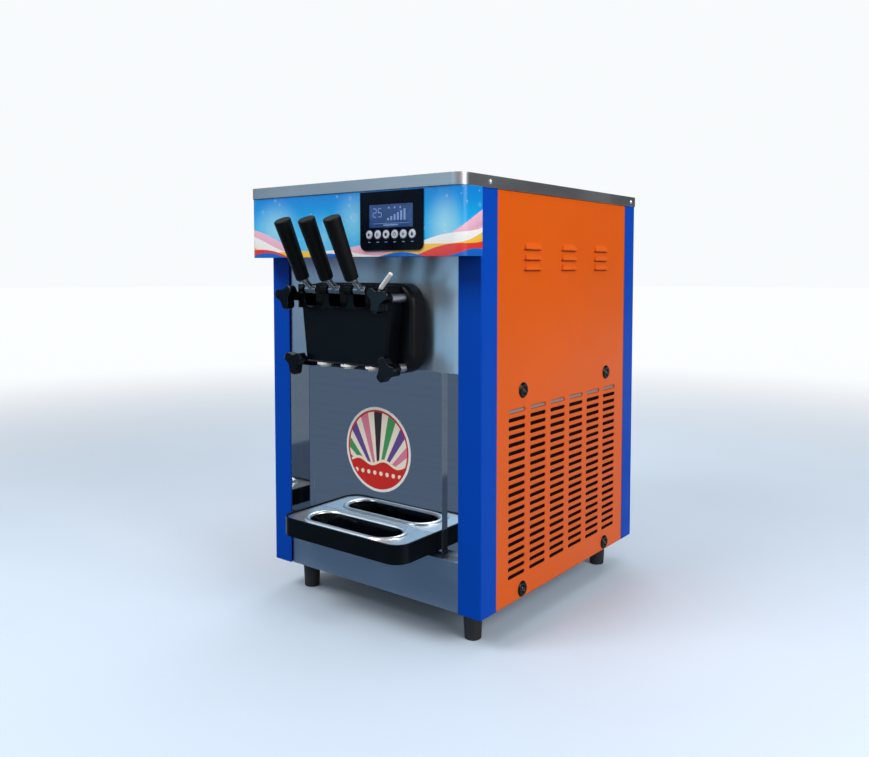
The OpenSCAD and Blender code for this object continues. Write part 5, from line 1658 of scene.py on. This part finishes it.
@dataclass
class Studio:
    """Floor, light and the camera at the photograph's angle."""

    camera_at: Triple = (1.0963, -1.4265, 0.6933)
    camera_turn_deg: Triple = (86.76, 0.0, 37.77)
    lens_mm: float = 34.62
    sensor_mm: float = 36.0
    shift_up: float = -0.0733
    floor_radius: float = 30.0
    floor_steps: int = 96
    aim: Triple = (0.0, 0.0, 0.42)
    ambient: float = 0.42
    ambient_tint: Colour = (0.96, 0.98, 1.0)
    under: float = 0.35
    horizon: Point = (-0.25, 0.15)
    backdrop: Colour = (0.94, 0.96, 0.98)
    lights: tuple[Softbox, ...] = (
        Softbox("key_right", (3.15, -0.3, 2.0), 1.8, 73.0),
        Softbox("front_high", (-0.8, -2.2, 2.9), 1.5, 67.0),
        Softbox("top", (0.0, 0.3, 3.2), 2.6, 30.0),
        Softbox("back", (-1.4, 2.8, 2.2), 1.8, 22.0),
    )
    flags: tuple[Flag, ...] = (
        Flag("flag_ahead", (-5.0, -4.5, 0.001), (0.9, -0.30, 0.001), (0.125, 0.175, 0.25)),
        Flag("flag_near", (0.9, -4.5, 0.001), (3.2, -0.30, 0.001), (0.34, 0.41, 0.48)),
        Flag("flag_far_left", (-8.2, -1.4, 0.0), (-3.76, -4.73, 1.1), (0.06, 0.13, 0.30)),
        Flag("flag_far_right", (-3.76, -4.73, 0.0), (1.4, -8.6, 1.1), (0.68, 1.32, 1.85)),
        Flag("flag_high", (-8.2, -1.4, 1.75), (1.4, -8.6, 4.0), (0.50, 0.88, 1.20)),
        Flag("flag_right", (3.4, 0.6, 0.0), (3.4, 16.0, 7.0), (0.035, 0.04, 0.055)),
    )

    def build(self) -> None:
        """Makes the floor, the reflection flags, the lights, the surroundings and the camera."""
        self._floor()
        for flag in self.flags:
            self._flag(flag)
        for box in self.lights:
            self._light(box)
        self._surroundings()
        self._camera()
        bpy.context.scene.view_settings.view_transform = "Standard"

    def _floor(self) -> None:
        """Makes the pale floor."""
        mesh = bmesh.new()
        bmesh.ops.create_circle(mesh, cap_ends=True, radius=self.floor_radius, segments=self.floor_steps)
        made = object_of("floor", mesh, FloorFinish("floor", self.backdrop).material())
        made.visible_diffuse = False

    def _flag(self, flag: Flag) -> None:
        """Makes one sheet that only glossy surfaces see.

        Args:
            flag: The sheet's place and tone.
        """
        material, wiring, glow = blank_material(flag.name, "Emission")
        wiring.feed(glow.inputs["Color"], flag.colour)
        mesh = bmesh.new()
        mesh.faces.new([mesh.verts.new(corner) for corner in flag.corners()])
        made = object_of(flag.name, mesh, material)
        made.visible_camera = made.visible_diffuse = made.visible_shadow = False
        made.visible_transmission = made.visible_volume_scatter = False

    def _light(self, box: Softbox) -> None:
        """Makes one softbox, turned to the machine.

        Args:
            box: The light's place, size and power.
        """
        data = bpy.data.lights.new(box.name, "AREA")
        data.shape, data.size, data.energy = "SQUARE", box.size, box.power
        lamp = bpy.data.objects.new(box.name, data)
        lamp.location = box.at
        lamp.rotation_euler = (Vector(self.aim) - Vector(box.at)).to_track_quat("-Z", "Y").to_euler()
        bpy.context.scene.collection.objects.link(lamp)

    def _surroundings(self) -> None:
        """Makes the even light all round, dimmer from below, and the backdrop that the camera sees."""
        world = bpy.data.worlds.new("studio")
        world.use_nodes = True
        wiring = Wiring(world.node_tree)
        sky = world.node_tree.nodes["Background"]
        seen = wiring.add("LightPath").outputs["Is Camera Ray"]
        even = tuple(self.ambient * part for part in self.ambient_tint)
        rise = wiring.axes(wiring.add("TexCoord").outputs["Generated"])[2]
        around = wiring.tones(wiring.remap(rise, *self.horizon), even, self.under)
        wiring.feed(sky.inputs["Color"], wiring.mix(seen, around, self.backdrop))
        bpy.context.scene.world = world

    def _camera(self) -> None:
        """Makes the camera."""
        data = bpy.data.cameras.new("camera")
        data.lens, data.sensor_width, data.shift_y = self.lens_mm, self.sensor_mm, self.shift_up
        camera = bpy.data.objects.new("camera", data)
        camera.location = self.camera_at
        camera.rotation_euler = tuple(math.radians(turn) for turn in self.camera_turn_deg)
        bpy.context.scene.collection.objects.link(camera)
        bpy.context.scene.camera = camera


def main() -> None:
    """Builds the studio and the machine's looks, in order."""
    logging.basicConfig(level=logging.INFO, format="%(name)s %(message)s")
    Studio().build()
    for kind in (Cabinet, Front, ControlFace, DispensingHead, DripTray, MixSystem, Cooling):
        LOG.info("%s", kind.__name__)
        assembly = kind()
        assembly.build()
        assembly.dress()


if __name__ == "__main__":
    main()
